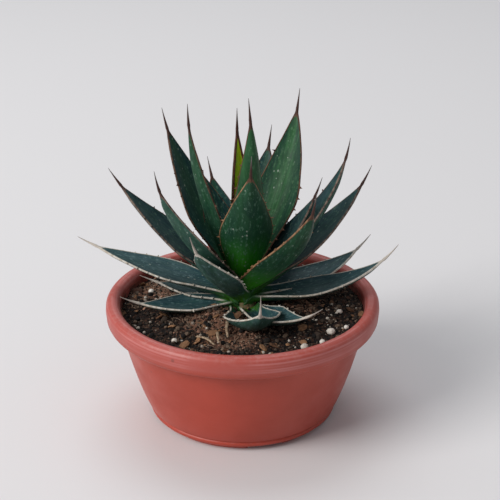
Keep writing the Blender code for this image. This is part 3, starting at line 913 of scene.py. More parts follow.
class ScatterTool(NodeTool):
    """Scatters irregular grains over a surface, as thickly as one of its attributes says."""

    def __init__(self) -> None:
        """Builds the tree."""
        super().__init__("scattered_grains", {
            "Density": ("NodeSocketFloat", 1000.0), "Smallest": ("NodeSocketFloat", 0.5 * MM),
            "Largest": ("NodeSocketFloat", 2 * MM), "Flatness": ("NodeSocketFloat", 0.7),
            "Stretch": ("NodeSocketFloat", 1.0), "Roughen": ("NodeSocketFloat", 0.3),
            "Lift": ("NodeSocketFloat", 0.0), "Facets": ("NodeSocketInt", 1), "Seed": ("NodeSocketInt", 1),
            "Where": ("NodeSocketString", "everywhere"), "Material": ("NodeSocketMaterial", None)})
        graph, given = self.graph, self.given
        where = graph.node("GeometryNodeInputNamedAttribute", {"Name": given.outputs["Where"]},
                           data_type="FLOAT").outputs[0]
        points = graph.node("GeometryNodeDistributePointsOnFaces",
                            {"Mesh": given.outputs["Geometry"], "Seed": given.outputs["Seed"],
                             "Density": graph.math("MULTIPLY", given.outputs["Density"], where)})
        toned = graph.node("GeometryNodeStoreNamedAttribute",
                           {"Geometry": points.outputs["Points"], "Name": "tone",
                            "Value": self.random(0.0, 1.0, given.outputs["Seed"], 5)})
        grain = graph.node("GeometryNodeMeshIcoSphere",
                           {"Radius": 0.5, "Subdivisions": given.outputs["Facets"]})
        slanted = graph.node("GeometryNodeTransform", {
            "Geometry": grain.outputs["Mesh"],
            "Scale": graph.node("ShaderNodeCombineXYZ", {0: given.outputs["Stretch"], 1: 1.0,
                                                         2: given.outputs["Flatness"]}).outputs[0]})
        tilt = graph.node("FunctionNodeRandomValue",
                          {0: (-0.7, -0.7, 0.0), 1: (0.7, 0.7, 6.28), "Seed": given.outputs["Seed"]},
                          data_type="FLOAT_VECTOR")
        draw = self.random(0.0, 1.0, given.outputs["Seed"], 2)
        skewed = graph.math("POWER", draw, 2.2)
        size = graph.node("ShaderNodeMix", {0: skewed, 2: given.outputs["Smallest"],
                                            3: given.outputs["Largest"]}, data_type="FLOAT").outputs[0]
        grains = graph.node("GeometryNodeInstanceOnPoints",
                            {"Points": toned.outputs[0], "Instance": slanted.outputs[0],
                             "Rotation": tilt.outputs[0], "Scale": size})
        raised = graph.node("GeometryNodeTranslateInstances", {
            "Instances": grains.outputs[0], "Local Space": False,
            "Translation": graph.node("ShaderNodeCombineXYZ", {2: graph.math(
                "MULTIPLY", size, given.outputs["Lift"])}).outputs[0]})
        real = graph.node("GeometryNodeRealizeInstances", {"Geometry": raised.outputs[0]})
        rough = graph.node("ShaderNodeTexNoise", {"Scale": 620.0, "Detail": 1.0})
        shift = graph.node("ShaderNodeVectorMath", {0: rough.outputs["Color"], 1: (0.5, 0.5, 0.5)},
                           operation="SUBTRACT")
        amount = graph.math("MULTIPLY", given.outputs["Roughen"], given.outputs["Largest"])
        moved = graph.node("ShaderNodeVectorMath", {0: shift.outputs[0], "Scale": amount}, operation="SCALE")
        uneven = graph.node("GeometryNodeSetPosition",
                            {"Geometry": real.outputs[0], "Offset": moved.outputs[0]})
        dressed = graph.node("GeometryNodeSetMaterial",
                             {"Geometry": uneven.outputs[0], "Material": given.outputs["Material"]})
        graph.put(self.out.inputs[0], dressed.outputs[0])


class StrandTool(NodeTool):
    """Scatters thin bent fibres over a surface."""

    def __init__(self) -> None:
        """Builds the tree."""
        super().__init__("scattered_fibres", {
            "Density": ("NodeSocketFloat", 1000.0), "Length": ("NodeSocketFloat", 7 * MM),
            "Thickness": ("NodeSocketFloat", 0.14 * MM), "Bend": ("NodeSocketFloat", 1.6 * MM),
            "Seed": ("NodeSocketInt", 1), "Where": ("NodeSocketString", "everywhere"),
            "Material": ("NodeSocketMaterial", None)})
        graph, given = self.graph, self.given
        where = graph.node("GeometryNodeInputNamedAttribute", {"Name": given.outputs["Where"]},
                           data_type="FLOAT").outputs[0]
        points = graph.node("GeometryNodeDistributePointsOnFaces",
                            {"Mesh": given.outputs["Geometry"], "Seed": given.outputs["Seed"],
                             "Density": graph.math("MULTIPLY", given.outputs["Density"], where)})
        half = graph.math("MULTIPLY", given.outputs["Length"], 0.5)
        ends = [graph.node("ShaderNodeCombineXYZ", {0: graph.math("MULTIPLY", half, sign),
                                                    2: -0.3 * MM}).outputs[0] for sign in (-1.0, 1.0)]
        middle = graph.node("ShaderNodeCombineXYZ", {1: given.outputs["Bend"],
                                                     2: given.outputs["Bend"]}).outputs[0]
        bow = graph.node("GeometryNodeCurveQuadraticBezier",
                         {"Resolution": 5, "Start": ends[0], "Middle": middle, "End": ends[1]})
        tilt = graph.node("FunctionNodeRandomValue",
                          {0: (-0.25, -0.25, 0.0), 1: (0.25, 0.25, 6.28), "Seed": given.outputs["Seed"]},
                          data_type="FLOAT_VECTOR")
        size = self.random(0.35, 1.2, given.outputs["Seed"], 2)
        strands = graph.node("GeometryNodeInstanceOnPoints",
                             {"Points": points.outputs["Points"], "Instance": bow.outputs[0],
                              "Rotation": tilt.outputs[0], "Scale": size})
        real = graph.node("GeometryNodeRealizeInstances", {"Geometry": strands.outputs[0]})
        section = graph.node("GeometryNodeCurvePrimitiveCircle", {"Resolution": 4,
                                                                  "Radius": given.outputs["Thickness"]})
        tubes = graph.node("GeometryNodeCurveToMesh",
                           {"Curve": real.outputs[0], "Profile Curve": section.outputs[0], "Fill Caps": True})
        dressed = graph.node("GeometryNodeSetMaterial",
                             {"Geometry": tubes.outputs[0], "Material": given.outputs["Material"]})
        graph.put(self.out.inputs[0], dressed.outputs[0])


# ---- the bowl ------------------------------------------------------------------------------------

@dataclass
class Bowl:
    """Moulded bowl with a rolled rim, a foot ring with notches, and drainage holes."""

    radius: float
    height: float
    wall: float = 2.0 * MM
    foot_radius: float = 64 * MM
    foot_height: float = 4 * MM
    foot_ring_width: float = 4 * MM
    foot_step: float = 2.5 * MM
    pad_radius: float = 12 * MM
    rim_width: float = 10.5 * MM
    rim_depth: float = 17 * MM
    bulge: float = 0.7
    bead_height: float = 7 * MM
    notch_width: float = 26 * MM
    notch_height: float = 2.2 * MM
    notch_azimuths: tuple[float, ...] = (15, 105, 195, 285)
    drain_radius: float = 5 * MM
    skirt_curve: tuple[tuple[float, float], ...] = (  # inwards and up, in halves of the rim's width
        (0.1, 0.75), (0.26, 0.4), (0.45, 0.16), (0.62, 0.03), (0.75, 0.0))
    bead_curve: tuple[tuple[float, float], ...] = (  # out from the wall and up, in millimetres
        (-0.15, 1.2), (-0.2, 0.5), (0.35, -0.1), (0.45, -1.0), (0.1, -2.2))
    drain_circle: float = 38 * MM
    drain_count: int = 6
    steps: int = 180

    def floor_top(self) -> float:
        """Height of the floor inside."""
        return self.foot_height + self.wall

    def wall_radius(self, z: float) -> float:
        """Outside radius of the wall at a height.

        Args:
            z: the height.

        Returns:
            The radius.
        """
        share = max(0.0, (z - self.foot_height) / (self.height - self.rim_depth - self.foot_height))
        low = self.foot_radius + self.foot_step
        return low + (self.radius - self.rim_width + self.wall * 0.5 - low) * min(share, 1.15) ** self.bulge

    def wall_heights(self, low: float, count: int = 26) -> list[float]:
        """Heights up the wall, closer together near the foot.

        Args:
            low: where they start.
            count: how many there are.

        Returns:
            The heights.
        """
        high = self.height - self.rim_depth
        return [low + (high - low) * (i / (count - 1)) ** 1.7 for i in range(count)]

    def profile(self) -> list[tuple[float, float]]:
        """Half section from the floor's middle, up the inside, over the rim and down the outside.

        Returns:
            Points (radius, height).
        """
        rim_low = self.height - self.rim_depth
        half = self.rim_width / 2
        inner = self.radius - self.rim_width
        inside = [(0.0, self.floor_top())]
        inside += [(self.wall_radius(z) - self.wall, z) for z in self.wall_heights(self.floor_top())]
        inside.append((inner - 0.2 * MM, self.height - half * 1.5))
        over = arc((inner + half, self.height - half), half, 180, 20, 18)
        skirt = [(self.radius, self.height - half * 1.35)]
        skirt += [(self.radius - back * half, rim_low + up * half) for back, up in self.skirt_curve]
        under = [(self.radius - 0.85 * half, rim_low + self.wall * 0.4),
                 (self.radius - 0.7 * half, rim_low + self.wall * 1.1),
                 (self.radius - self.wall, self.height - half * 1.6),
                 (inner + half, self.height - self.wall * 1.1),
                 (inner + self.wall, self.height - half * 1.6)]
        outside = [(self.wall_radius(z), z) for z in reversed(self.wall_heights(self.bead_height + 2 * MM))]
        flank = self.wall_radius(self.bead_height)
        outside += [(flank + out * MM, self.bead_height + up * MM) for out, up in self.bead_curve]
        outside.append((flank - MM, self.foot_height - 0.3 * MM))
        foot = [(self.foot_radius + 0.1 * MM, self.foot_height - 0.5 * MM), (self.foot_radius, 0.35 * MM),
                (self.foot_radius - 0.35 * MM, 0.0), (self.foot_radius - self.foot_ring_width, 0.0),
                (self.foot_radius - self.foot_ring_width, self.foot_height),
                (self.pad_radius, self.foot_height), (self.pad_radius, 0.0), (0.0, 0.0)]
        return inside + over + skirt + under + outside + foot

    def cutters(self) -> list[bpy.types.Object]:
        """Blocks for the foot notches and pins for the drainage holes.

        Returns:
            The cutting objects.
        """
        made = []
        for azimuth in self.notch_azimuths:
            bm = bmesh.new()
            bmesh.ops.create_cube(bm, size=1.0)
            size = Matrix.Diagonal((3 * self.foot_ring_width, self.notch_width, 2 * self.notch_height, 1))
            turn = Matrix.Rotation(math.radians(azimuth), 4, "Z")
            middle = on_circle(self.foot_radius - self.foot_ring_width / 2, azimuth)
            bm.transform(Matrix.Translation(middle) @ turn @ size)
            made.append(self.cutter(bm, f"notch_{azimuth}"))
        for index in range(self.drain_count):
            bm = bmesh.new()
            bmesh.ops.create_cone(bm, cap_ends=True, segments=48, radius1=self.drain_radius,
                                  radius2=self.drain_radius, depth=4 * self.floor_top())
            bm.transform(Matrix.Translation(on_circle(self.drain_circle, 360 * index / self.drain_count)))
            made.append(self.cutter(bm, f"drain_{index}"))
        return made

    @staticmethod
    def cutter(bm: bmesh.types.BMesh, name: str) -> bpy.types.Object:
        """Makes a cutting object of a bmesh, which is freed.

        Args:
            bm: the cutter's shape.
            name: the object's name.

        Returns:
            The cutting object.
        """
        mesh = bpy.data.meshes.new(name)
        bm.to_mesh(mesh)
        bm.free()
        return link(bpy.data.objects.new(name, mesh))

    def build(self) -> bpy.types.Object:
        """Makes the bowl's mesh.

        Returns:
            The bowl's object.
        """
        obj = turned("bowl", self.profile(), self.steps)
        cutters = self.cutters()
        for cutter in cutters:
            cut = obj.modifiers.new("cut", "BOOLEAN")
            cut.operation = "DIFFERENCE"
            cut.object = cutter
        made = baked(obj, "bowl")
        for cutter in cutters:
            bpy.data.objects.remove(cutter, do_unlink=True)
        made.data.polygons.foreach_set("use_smooth", [True] * len(made.data.polygons))
        made.data.set_sharp_from_angle(angle=math.radians(38))
        inner = made.data.attributes.new("inner", "FLOAT", "POINT")
        inner.data.foreach_set("value", [float(self.is_inner(v.co)) for v in made.data.vertices])
        return made

    def is_inner(self, place: Vector) -> bool:
        """Whether a place lies on the bowl's inside.

        Args:
            place: the place.

        Returns:
            True on the inside.
        """
        across = math.hypot(place.x, place.y)
        low = self.wall_radius(place.z) - 0.6 * self.wall
        return self.floor_top() - 0.1 * MM < place.z < self.height - self.rim_width / 2 and across < low

    def dress(self, obj: bpy.types.Object, material: bpy.types.Material) -> None:
        """Args:
            obj: the bowl.
            material: its plastic.
        """
        dress(obj, material)
        settle(obj, "bowl", "pot")


# ---- potting mix ---------------------------------------------------------------------------------

@dataclass
class Heap:
    """A soft round patch on the potting mix."""

    distance: float
    azimuth: float
    spread: float

    def strength(self, x: float, y: float) -> float:
        """How much of the patch there is at a place, from 0 to 1."""
        away = (Vector((x, y, 0.0)) - on_circle(self.distance, self.azimuth)).length / self.spread
        return math.exp(-away * away)


@dataclass(frozen=True)
class LooseGrains:
    """One kind of grain on the mix: its sizes in millimetres and how many lie on a square metre."""

    name: str
    finish: str
    where: str
    density: float
    smallest: float
    largest: float
    flatness: float
    stretch: float
    roughen: float
    facets: int
    seed: int
    lift: float = 0.12


LOOSE_GRAINS = (
    LooseGrains("fine_grit", "grit", "everywhere", 170000, 0.6, 2.2, 0.8, 1.0, 0.25, 1, 11),
    LooseGrains("coarse_crumbs", "grit", "everywhere", 30000, 1.6, 4.6, 0.75, 1.15, 0.3, 2, 12),
    LooseGrains("dry_crumbs", "crumbs", "dry", 130000, 0.7, 3.0, 0.7, 1.2, 0.3, 1, 16),
    LooseGrains("bark_chips", "bark", "some_chips", 12000, 1.8, 7.0, 0.38, 1.6, 0.26, 2, 13),
    LooseGrains("pale_grit", "pale", "some_pale", 20000, 0.7, 3.0, 0.8, 1.0, 0.3, 2, 14),
)


@dataclass
class PottingMix:
    """The mix in the bowl: an uneven surface with grit, bark chips, pale grains and fibres on it."""

    bowl: Bowl
    drop: float = 11 * MM
    crown: float = 4 * MM
    bumps: float = 1.2 * MM
    crumble: float = 0.9 * MM
    gap: float = 0.3 * MM
    mound: float = 5 * MM
    mound_patch: Heap = field(default_factory=lambda: Heap(30 * MM, 225, 16 * MM))
    dry_patches: tuple[Heap, ...] = (Heap(32 * MM, 232, 24 * MM), Heap(50 * MM, 262, 18 * MM),
                                     Heap(70 * MM, 158, 20 * MM), Heap(44 * MM, 2, 12 * MM))
    chip_patches: tuple[Heap, ...] = (Heap(72 * MM, 160, 26 * MM), Heap(66 * MM, 250, 26 * MM),
                                      Heap(46 * MM, 0, 16 * MM), Heap(70 * MM, 285, 20 * MM))
    pale_patches: tuple[Heap, ...] = (Heap(72 * MM, 315, 26 * MM), Heap(72 * MM, 345, 22 * MM),
                                      Heap(74 * MM, 250, 22 * MM), Heap(76 * MM, 165, 20 * MM))
    rings: int = 110
    spokes: int = 260

    def level(self) -> float:
        """Height of the mix at the wall."""
        return self.bowl.height - self.drop

    def height(self, x: float, y: float) -> float:
        """Height of the mix at a place, without its crumbs.

        Args:
            x: the place's x.
            y: the place's y.

        Returns:
            The height.
        """
        share = min(1.0, math.hypot(x, y) / self.bowl.radius)
        bumps = noise.noise(Vector((x, y, 0.0)) * 60.0) * (1 - share * share)
        crown = self.crown * math.cos(share * math.pi / 2) ** 2
        return self.level() + crown + self.mound * self.mound_patch.strength(x, y) + self.bumps * bumps

    def edge_radius(self) -> float:
        """Radius of the mix at its level, just clear of the wall."""
        low_z = self.bowl.height - self.bowl.rim_depth
        low_r = self.bowl.wall_radius(low_z) - self.bowl.wall
        high_r, high_z = self.bowl.radius - self.bowl.rim_width, self.bowl.height - self.bowl.rim_width / 2
        return low_r + (high_r - low_r) * (self.level() - low_z) / (high_z - low_z) - 2 * self.gap

    def build_surface(self) -> bpy.types.Object:
        """Makes the closed body of the mix with its crumbled top.

        Returns:
            The object, with attributes that say where it is dry and where chips and pale grains lie.
        """
        edge = self.edge_radius()
        points: list[tuple[float, float, float]] = [(0.0, 0.0, self.height(0.0, 0.0))]
        for ring in range(1, self.rings + 1):
            radius = edge * ring / self.rings
            fade = min(1.0, (self.rings - ring) / 4)
            for spoke in range(self.spokes):
                angle = math.tau * spoke / self.spokes
                x, y = radius * math.cos(angle), radius * math.sin(angle)
                crumbs = noise.fractal(Vector((x, y, 0.3)) * 330.0, 0.9, 2.1, 4) * self.crumble
                points.append((x, y, self.height(x, y) + crumbs * fade))
        side = [(self.bowl.wall_radius(z) - self.bowl.wall - 2 * self.gap, z + self.gap)
                for z in reversed(self.bowl.wall_heights(self.bowl.floor_top(), 8))]
        for radius, z in side:
            for spoke in range(self.spokes):
                angle = math.tau * spoke / self.spokes
                points.append((radius * math.cos(angle), radius * math.sin(angle), z))
        points.append((0.0, 0.0, side[-1][1]))
        faces = [(0, 1 + i, 1 + (i + 1) % self.spokes) for i in range(self.spokes)]
        for ring in range(self.rings + len(side) - 1):
            low, high = 1 + ring * self.spokes, 1 + (ring + 1) * self.spokes
            faces += [(low + i, high + i, high + (i + 1) % self.spokes, low + (i + 1) % self.spokes)
                      for i in range(self.spokes)]
        last = 1 + (self.rings + len(side) - 1) * self.spokes
        faces += [(last + (i + 1) % self.spokes, last + i, len(points) - 1) for i in range(self.spokes)]
        skin = Skin(np.array(points), faces)
        open_top = np.arange(len(points)) < 1 + self.rings * self.spokes
        shaded = {"dry": self.dry_patches, "chips": self.chip_patches, "pale": self.pale_patches}
        for label, patches in shaded.items():
            values = [max(patch.strength(x, y) for patch in patches) for x, y, _ in points]
            skin.attributes[label] = np.array(values) * open_top
        skin.attributes["everywhere"] = open_top.astype(float)
        skin.attributes["some_chips"] = np.clip(skin.attributes["chips"] + 0.25, 0, 1) * open_top
        skin.attributes["some_pale"] = np.clip(skin.attributes["pale"] + 0.15, 0, 1) * open_top
        return skin.to_object("mix_surface")

    def build(self, scatter: ScatterTool, strands: StrandTool, materials: dict[str, bpy.types.Material]
              ) -> None:
        """Makes the mix and everything loose on it.

        Args:
            scatter: the tree that scatters grains.
            strands: the tree that scatters fibres.
            materials: the finishes by name.
        """
        surface = self.build_surface()
        dress(surface, materials["mix"])
        for loose in LOOSE_GRAINS:
            made = scatter.apply(self.copy_of(surface), loose.name, {
                "Density": loose.density, "Smallest": loose.smallest * MM, "Largest": loose.largest * MM,
                "Flatness": loose.flatness, "Stretch": loose.stretch, "Roughen": loose.roughen,
                "Lift": loose.lift, "Facets": loose.facets, "Seed": loose.seed, "Where": loose.where,
                "Material": materials[loose.finish]})
            settle(made, "mix")
        fibres = strands.apply(self.copy_of(surface), "mix_fibres", {
            "Density": 90000.0, "Length": 8 * MM, "Thickness": 0.17 * MM, "Bend": 1.5 * MM, "Seed": 15,
            "Where": "dry", "Material": materials["fibre"]})
        settle(fibres, "mix")
        settle(surface, "mix", "potting_mix")

    @staticmethod
    def copy_of(obj: bpy.types.Object) -> bpy.types.Object:
        """Copies an object with its own mesh and links it to the scene.

        Args:
            obj: the object.

        Returns:
            The copy.
        """
        made = obj.copy()
        made.data = obj.data.copy()
        return link(made)


@dataclass
class Pumice:
    """The loose white grains, each built where the frame has it."""

    names: Sequence[str]
    bumps: float = 0.16

    def build(self, material: bpy.types.Material) -> None:
        """Makes every grain.

        Args:
            material: the pumice.
        """
        for index, name in enumerate(self.names):
            low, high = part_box(name)
            middle, half = (low + high) / 2, (high - low) / 2
            bm = bmesh.new()
            bmesh.ops.create_icosphere(bm, subdivisions=4, radius=1.0)
            for vert in bm.verts:
                place = vert.co + Vector((index * 7.0, 0, 0))
                lump = noise.noise(place * 1.3) * 0.5 + abs(noise.noise(place * 3.1)) * 0.5
                pits = abs(noise.noise(place * 8.0)) * 0.12
                vert.co *= 0.92 + self.bumps * lump - pits
            bm.transform(Matrix.Translation(middle) @ Matrix.Diagonal((*half, 1)))
            mesh = bpy.data.meshes.new(name)
            bm.to_mesh(mesh)
            bm.free()
            mesh.polygons.foreach_set("use_smooth", [True] * len(mesh.polygons))
            tone = mesh.attributes.new("tone", "FLOAT", "POINT")
            tone.data.foreach_set("value", [0.7 + 0.3 * math.sin(index * 2.1)] * len(mesh.vertices))
            obj = link(bpy.data.objects.new(f"grain_{index + 1}", mesh))
            dress(obj, material)
            settle(obj, "pumice", name)


@dataclass
class DryStrip:
    """One strip left by a dead leaf, bent and frayed."""

    node: str
    foot: tuple[float, float]
    tip: tuple[float, float]
    rise: float
    radius: float = 0.9 * MM
    rows: int = 40
    around: int = 16

    def build(self, mix: PottingMix, material: bpy.types.Material) -> None:
        """Makes the strip.

        Args:
            mix: the potting mix that it stands in.
            material: the dry fibre.
        """
        foot, tip = on_circle(*self.foot), on_circle(*self.tip)
        ahead = (tip - foot).normalized()
        side = ahead.cross(Vector((0, 0, 1)))
        points, faces = [], []
        for row in range(self.rows):
            share = row / (self.rows - 1)
            centre = foot.lerp(tip, share) + side * (math.sin(share * 5.0 + self.rise * 900) * 0.5 * MM)
            lift = (self.rise + self.radius) * math.sin(share * 2.2) - self.radius * 0.4
            centre.z = mix.height(centre.x, centre.y) + lift
            radius = self.radius * (1.1 - 0.6 * share) * (1.0 if 0 < row < self.rows - 1 else 0.5)
            for step in range(self.around):
                turn = math.tau * step / self.around + share * 1.6
                ridge = 1 + 0.22 * noise.noise(Vector((step * 1.7, share * 14, self.rise * 1000)))
                points.append(centre + side * (radius * 1.5 * ridge) * math.cos(turn)
                              + Vector((0, 0, 1)) * (radius * 0.7 * ridge) * math.sin(turn))
        for row in range(self.rows - 1):
            for step in range(self.around):
                low, after = row * self.around, (step + 1) % self.around
                high = low + self.around
                faces.append((low + step, low + after, high + after, high + step))
        faces.append(tuple(range(self.around))[::-1])
        faces.append(tuple(range((self.rows - 1) * self.around, self.rows * self.around)))
        obj = Skin(np.array([tuple(p) for p in points]), faces).to_object(self.node + "_frayed")
        recalculate(obj)
        dress(obj, material)
        settle(obj, "dry_fibre", self.node)


def recalculate(obj: bpy.types.Object) -> None:
    """Turns the normals of a closed mesh outwards.

    Args:
        obj: the object whose mesh is changed.
    """
    bm = bmesh.new()
    bm.from_mesh(obj.data)
    bmesh.ops.recalc_face_normals(bm, faces=bm.faces)
    bm.to_mesh(obj.data)
    bm.free()


# ---- the plant -----------------------------------------------------------------------------------

class Coat(Enum):
    """Which skin a leaf has."""

    HEART = "heart"
    PAINTED_LIT_MIDDLE = "painted_lit_middle"
    UPRIGHT = "upright"
    FRONT = "front"
    MIDDLE = "middle"
    LOW = "low"


@dataclass(frozen=True)
class LeafForm:
    """Lie and size of one leaf: degrees, and millimetres for its length and width."""

    node: str
    azimuth: float
    rise: float
    tip_rise: float
    length: float
    width: float
    cup: float
    twist: float
    swing: float
    coat: Coat


@dataclass
class Rosette:
    """The plant: its leaves on a short stem, from the innermost to the lowest."""

    soil_level: float
    forms: Sequence[LeafForm]
    stem_radius_low: float = 12 * MM
    stem_radius_top: float = 2.5 * MM
    stem_rise: float = 30 * MM
    gap: float = 0.3 * MM
    blade_thickness: float = 4.6 * MM
    edge_thickness: float = 1.0 * MM
    spine_radius: float = 1.1 * MM
    spine_length: float = 15 * MM
    base_width_share: float = 0.6
    base_cup: float = 110
    base_tuck: float = 10 * MM
    curl_power: float = 1.6
    widest_at: float = 0.46
    bud_radius: float = 4.2 * MM
    bud_length: float = 56 * MM

    def stem_radius(self, height: float) -> float:
        """Radius of the stem at a height above the mix."""
        share = min(1.0, max(0.0, height / self.stem_rise))
        return self.stem_radius_low + (self.stem_radius_top - self.stem_radius_low) * share ** 0.8

    def start_of(self, index: int) -> Vector:
        """Where a leaf leaves the stem: the lower the leaf, the lower and wider its seat.

        Args:
            index: the leaf's number, counted from the heart outwards.

        Returns:
            The place.
        """
        share = 1 - index / (len(self.forms) - 1)
        height = 3 * MM + (self.stem_rise - 5 * MM) * share
        clear = self.gap + self.edge_thickness / 2 * math.sin(math.radians(self.forms[index].rise))
        distance = self.stem_radius(height) + clear
        return on_circle(distance, self.forms[index].azimuth, self.soil_level + height)

    def build_bud(self, material: bpy.types.Material) -> None:
        """Makes the furled young leaves in the heart.

        Args:
            material: the young skin, whose brightness is partly painted light shining through the leaves.
        """
        low = self.soil_level + self.stem_rise + self.gap
        rows, around = 60, 40
        points = []
        for row in range(rows):
            share = row / (rows - 1)
            radius = self.bud_radius * (1 - share ** 1.6) ** 0.8 + 0.2 * MM * share
            for step in range(around):
                turn = math.tau * step / around
                seam = 1 - 0.1 * max(0.0, math.cos(turn * 1.5 - share * 4.0)) ** 8
                points.append((radius * seam * math.cos(turn), radius * seam * math.sin(turn),
                               low + self.bud_length * share))
        faces = [(r * around + i, r * around + (i + 1) % around, (r + 1) * around + (i + 1) % around,
                  (r + 1) * around + i) for r in range(rows - 1) for i in range(around)]
        faces += [tuple(range(around))[::-1], tuple(range((rows - 1) * around, rows * around))]
        share = np.repeat(np.linspace(0, 1, rows), around)
        turn = np.tile(np.linspace(-1, 1, around), rows)
        skin = Skin(np.array(points), faces, {
            "along": 0.2 + share * 0.75, "under": np.ones(rows * around), "middle": 1 - np.abs(turn),
            "horn": smooth_step(0.95, 1.0, share),
            "surface": np.stack([turn * 12, share * 56, np.full(rows * around, 3.0)], axis=1)})
        obj = skin.to_object("furled_heart")
        dress(obj, material)
        settle(obj, "young_leaf", "leaf_bud")


@dataclass
class Leaf:
    """One leaf: a keeled, cupped blade with a horny edge, teeth and an end spine."""

    form: LeafForm
    plant: Rosette
    start: Vector
    seed: int
    edge_width: float = 0.85 * MM
    edge_bead: float = 0.12 * MM
    keel_sharpness: float = 0.85
    tooth_spacing: float = 8.0 * MM
    tooth_length: float = 2.2 * MM
    tooth_width_share: float = 0.55
    toothed_from: float = 0.16  # shares of the blade between which it carries teeth
    toothed_to: float = 0.74
    horny_width_share: float = 0.9  # of the edge's width that is coloured as horn
    horny_tip: float = 5 * MM  # how much wider the horn is at the blade's end
    horny_tip_from: float = 0.93
    horny_softness: float = 0.25 * MM
    ripple_depth: float = 0.035
    ripple_length: float = 14  # millimetres
    taper: float = 0.55  # how much of the flesh's thickness is lost along the blade
    round_from: float = 0.97  # share of the blade from where its section turns round
    spine_taper: float = 0.86
    column_crowding: float = 0.93  # how far the columns crowd towards the edges
    blade_rows: int = 64
    spine_rows: int = 14
    tuck_rows: int = 5
    inner_columns: int = 15

    def blade_end(self) -> float:
        """Share of the length where the blade ends and the spine begins."""
        return 1 - self.plant.spine_length / (self.form.length * MM)

    def width_share(self, share: np.ndarray) -> np.ndarray:
        """Width along the blade as a share of the widest.

        Args:
            share: places from the base, 0, to the end of the blade, 1.

        Returns:
            The width share at each place.
        """
        widest, base = self.plant.widest_at, self.plant.base_width_share
        past = np.clip((share - widest) / (1 - widest), 0, 1)
        upper = 1 - past ** 1.35
        lower = base + (1 - base) * smooth_step(0.05, 1.0, share / widest)
        return np.where(share > widest, upper, lower)

    def midrib(self) -> tuple[np.ndarray, np.ndarray, np.ndarray, np.ndarray]:
        """Rows along the leaf, from the tucked base to the spine's tip.

        Returns:
            Share of the length, centre, heading and sideways direction of each row.
        """
        form = self.form
        steps = 240
        fine = np.arange(steps + 1) / steps
        rise = np.radians(form.rise + (form.tip_rise - form.rise) * fine ** self.plant.curl_power)
        turned = np.radians(form.azimuth + form.swing * fine)
        heads = np.stack([np.cos(rise) * np.cos(turned), np.cos(rise) * np.sin(turned), np.sin(rise)], axis=1)
        path = np.concatenate([[[0.0, 0.0, 0.0]], np.cumsum(heads[:-1] * form.length * MM / steps, axis=0)])
        path += np.array(self.start)
        end = self.blade_end()
        blade = end * np.linspace(0, 1, self.blade_rows) ** 0.9
        spine = end + (1 - end) * np.linspace(0, 1, self.spine_rows + 1)[1:]
        shares = np.concatenate([blade, spine])
        centres = np.stack([np.interp(shares, fine, path[:, k]) for k in range(3)], axis=1)
        heading = np.stack([np.interp(shares, fine, heads[:, k]) for k in range(3)], axis=1)
        heading /= np.linalg.norm(heading, axis=1)[:, None]
        facing = np.radians(form.azimuth + form.swing * shares)
        side = np.stack([np.sin(facing), -np.cos(facing), np.zeros(len(shares))], axis=1)
        twist = np.radians(form.twist * shares)[:, None]
        side = side * np.cos(twist) + np.cross(heading, side) * np.sin(twist)
        return shares, centres, heading, side

    def columns(self, half: float) -> tuple[np.ndarray, np.ndarray, np.ndarray]:
        """Places round one section.

        Args:
            half: half of the blade's width there.

        Returns:
            Across from -1 to 1, the face (1 upper, -1 lower, 0 the edge itself), and the horny edge's share.
        """
        edge = min(0.42, self.edge_width / max(half, 1e-6))
        crowding = self.column_crowding
        inner = np.sin(np.linspace(-1, 1, self.inner_columns) * math.pi / 2 * crowding)
        inner = inner / math.sin(math.pi / 2 * crowding) * (1 - edge)
        right = np.array([1 - 0.72 * edge, 1 - 0.3 * edge])
        upper = np.concatenate([-right[::-1], inner, right])
        across = np.concatenate([[-1.0], upper, [1.0], upper[::-1]])
        face = np.concatenate([[0.0], np.ones(len(upper)), [0.0], -np.ones(len(upper))])
        return across, face, np.full(len(across), edge)

    def build_blade(self) -> bpy.types.Object:
        """Makes the blade and spine in one skin, with the attributes that its finish and teeth read.

        Returns:
            The leaf's object, without teeth.
        """
        plant, form = self.plant, self.form
        shares, centres, heading, side = self.midrib()
        inward = np.cross(side, heading)
        in_blade = np.minimum(1.0, shares / self.blade_end())
        wide = np.maximum(self.width_share(in_blade) * form.width * MM, 2 * plant.spine_radius)
        cup = np.radians(plant.base_cup + (form.cup - plant.base_cup) * smooth_step(0.0, 0.5, in_blade))
        thick = (plant.blade_thickness - plant.edge_thickness) * (1 - self.taper * in_blade)
        thick *= np.minimum(1.0, wide / (12 * MM))
        round_share = smooth_step(self.round_from, 1.0, in_blade)
        past = np.clip((shares - self.blade_end()) / (1 - self.blade_end()), 0, 1)
        round_radius = plant.spine_radius * (1 - self.spine_taper * past ** 0.8)
        rows = []
        labels = {name: [] for name in ("along", "under", "horn", "middle", "surface", "outward")}
        for row, share in enumerate(shares):
            across, face, edge = self.columns(wide[row] / 2)
            wave = 1 + self.ripple(share) * (1 - round_share[row])
            bend = wide[row] / max(cup[row], 0.01)
            angle = across * cup[row] / 2
            x, y = bend * np.sin(angle) * wave, bend * (1 - np.cos(angle))
            out_x, out_y = -np.sin(angle), np.cos(angle)
            offset = self.offsets(across, face, edge, thick[row])
            x, y = x + out_x * offset, y + out_y * offset
            turn = self.round_turns(len(across))
            x = x * (1 - round_share[row]) + np.cos(turn) * round_radius[row] * round_share[row]
            y = y * (1 - round_share[row]) + np.sin(turn) * round_radius[row] * round_share[row]
            rows.append(centres[row] + side[row] * x[:, None] + inward[row] * y[:, None])
            self.label(labels, share, across, face, wide[row], side[row], past[row], in_blade[row])
        tucked = self.tuck(rows[0], heading[0])
        for values in labels.values():
            values[:0] = [values[0]] * len(tucked)
        rows = tucked + rows
        return self.skin_of(rows, labels).to_object(form.node + "_leaf")

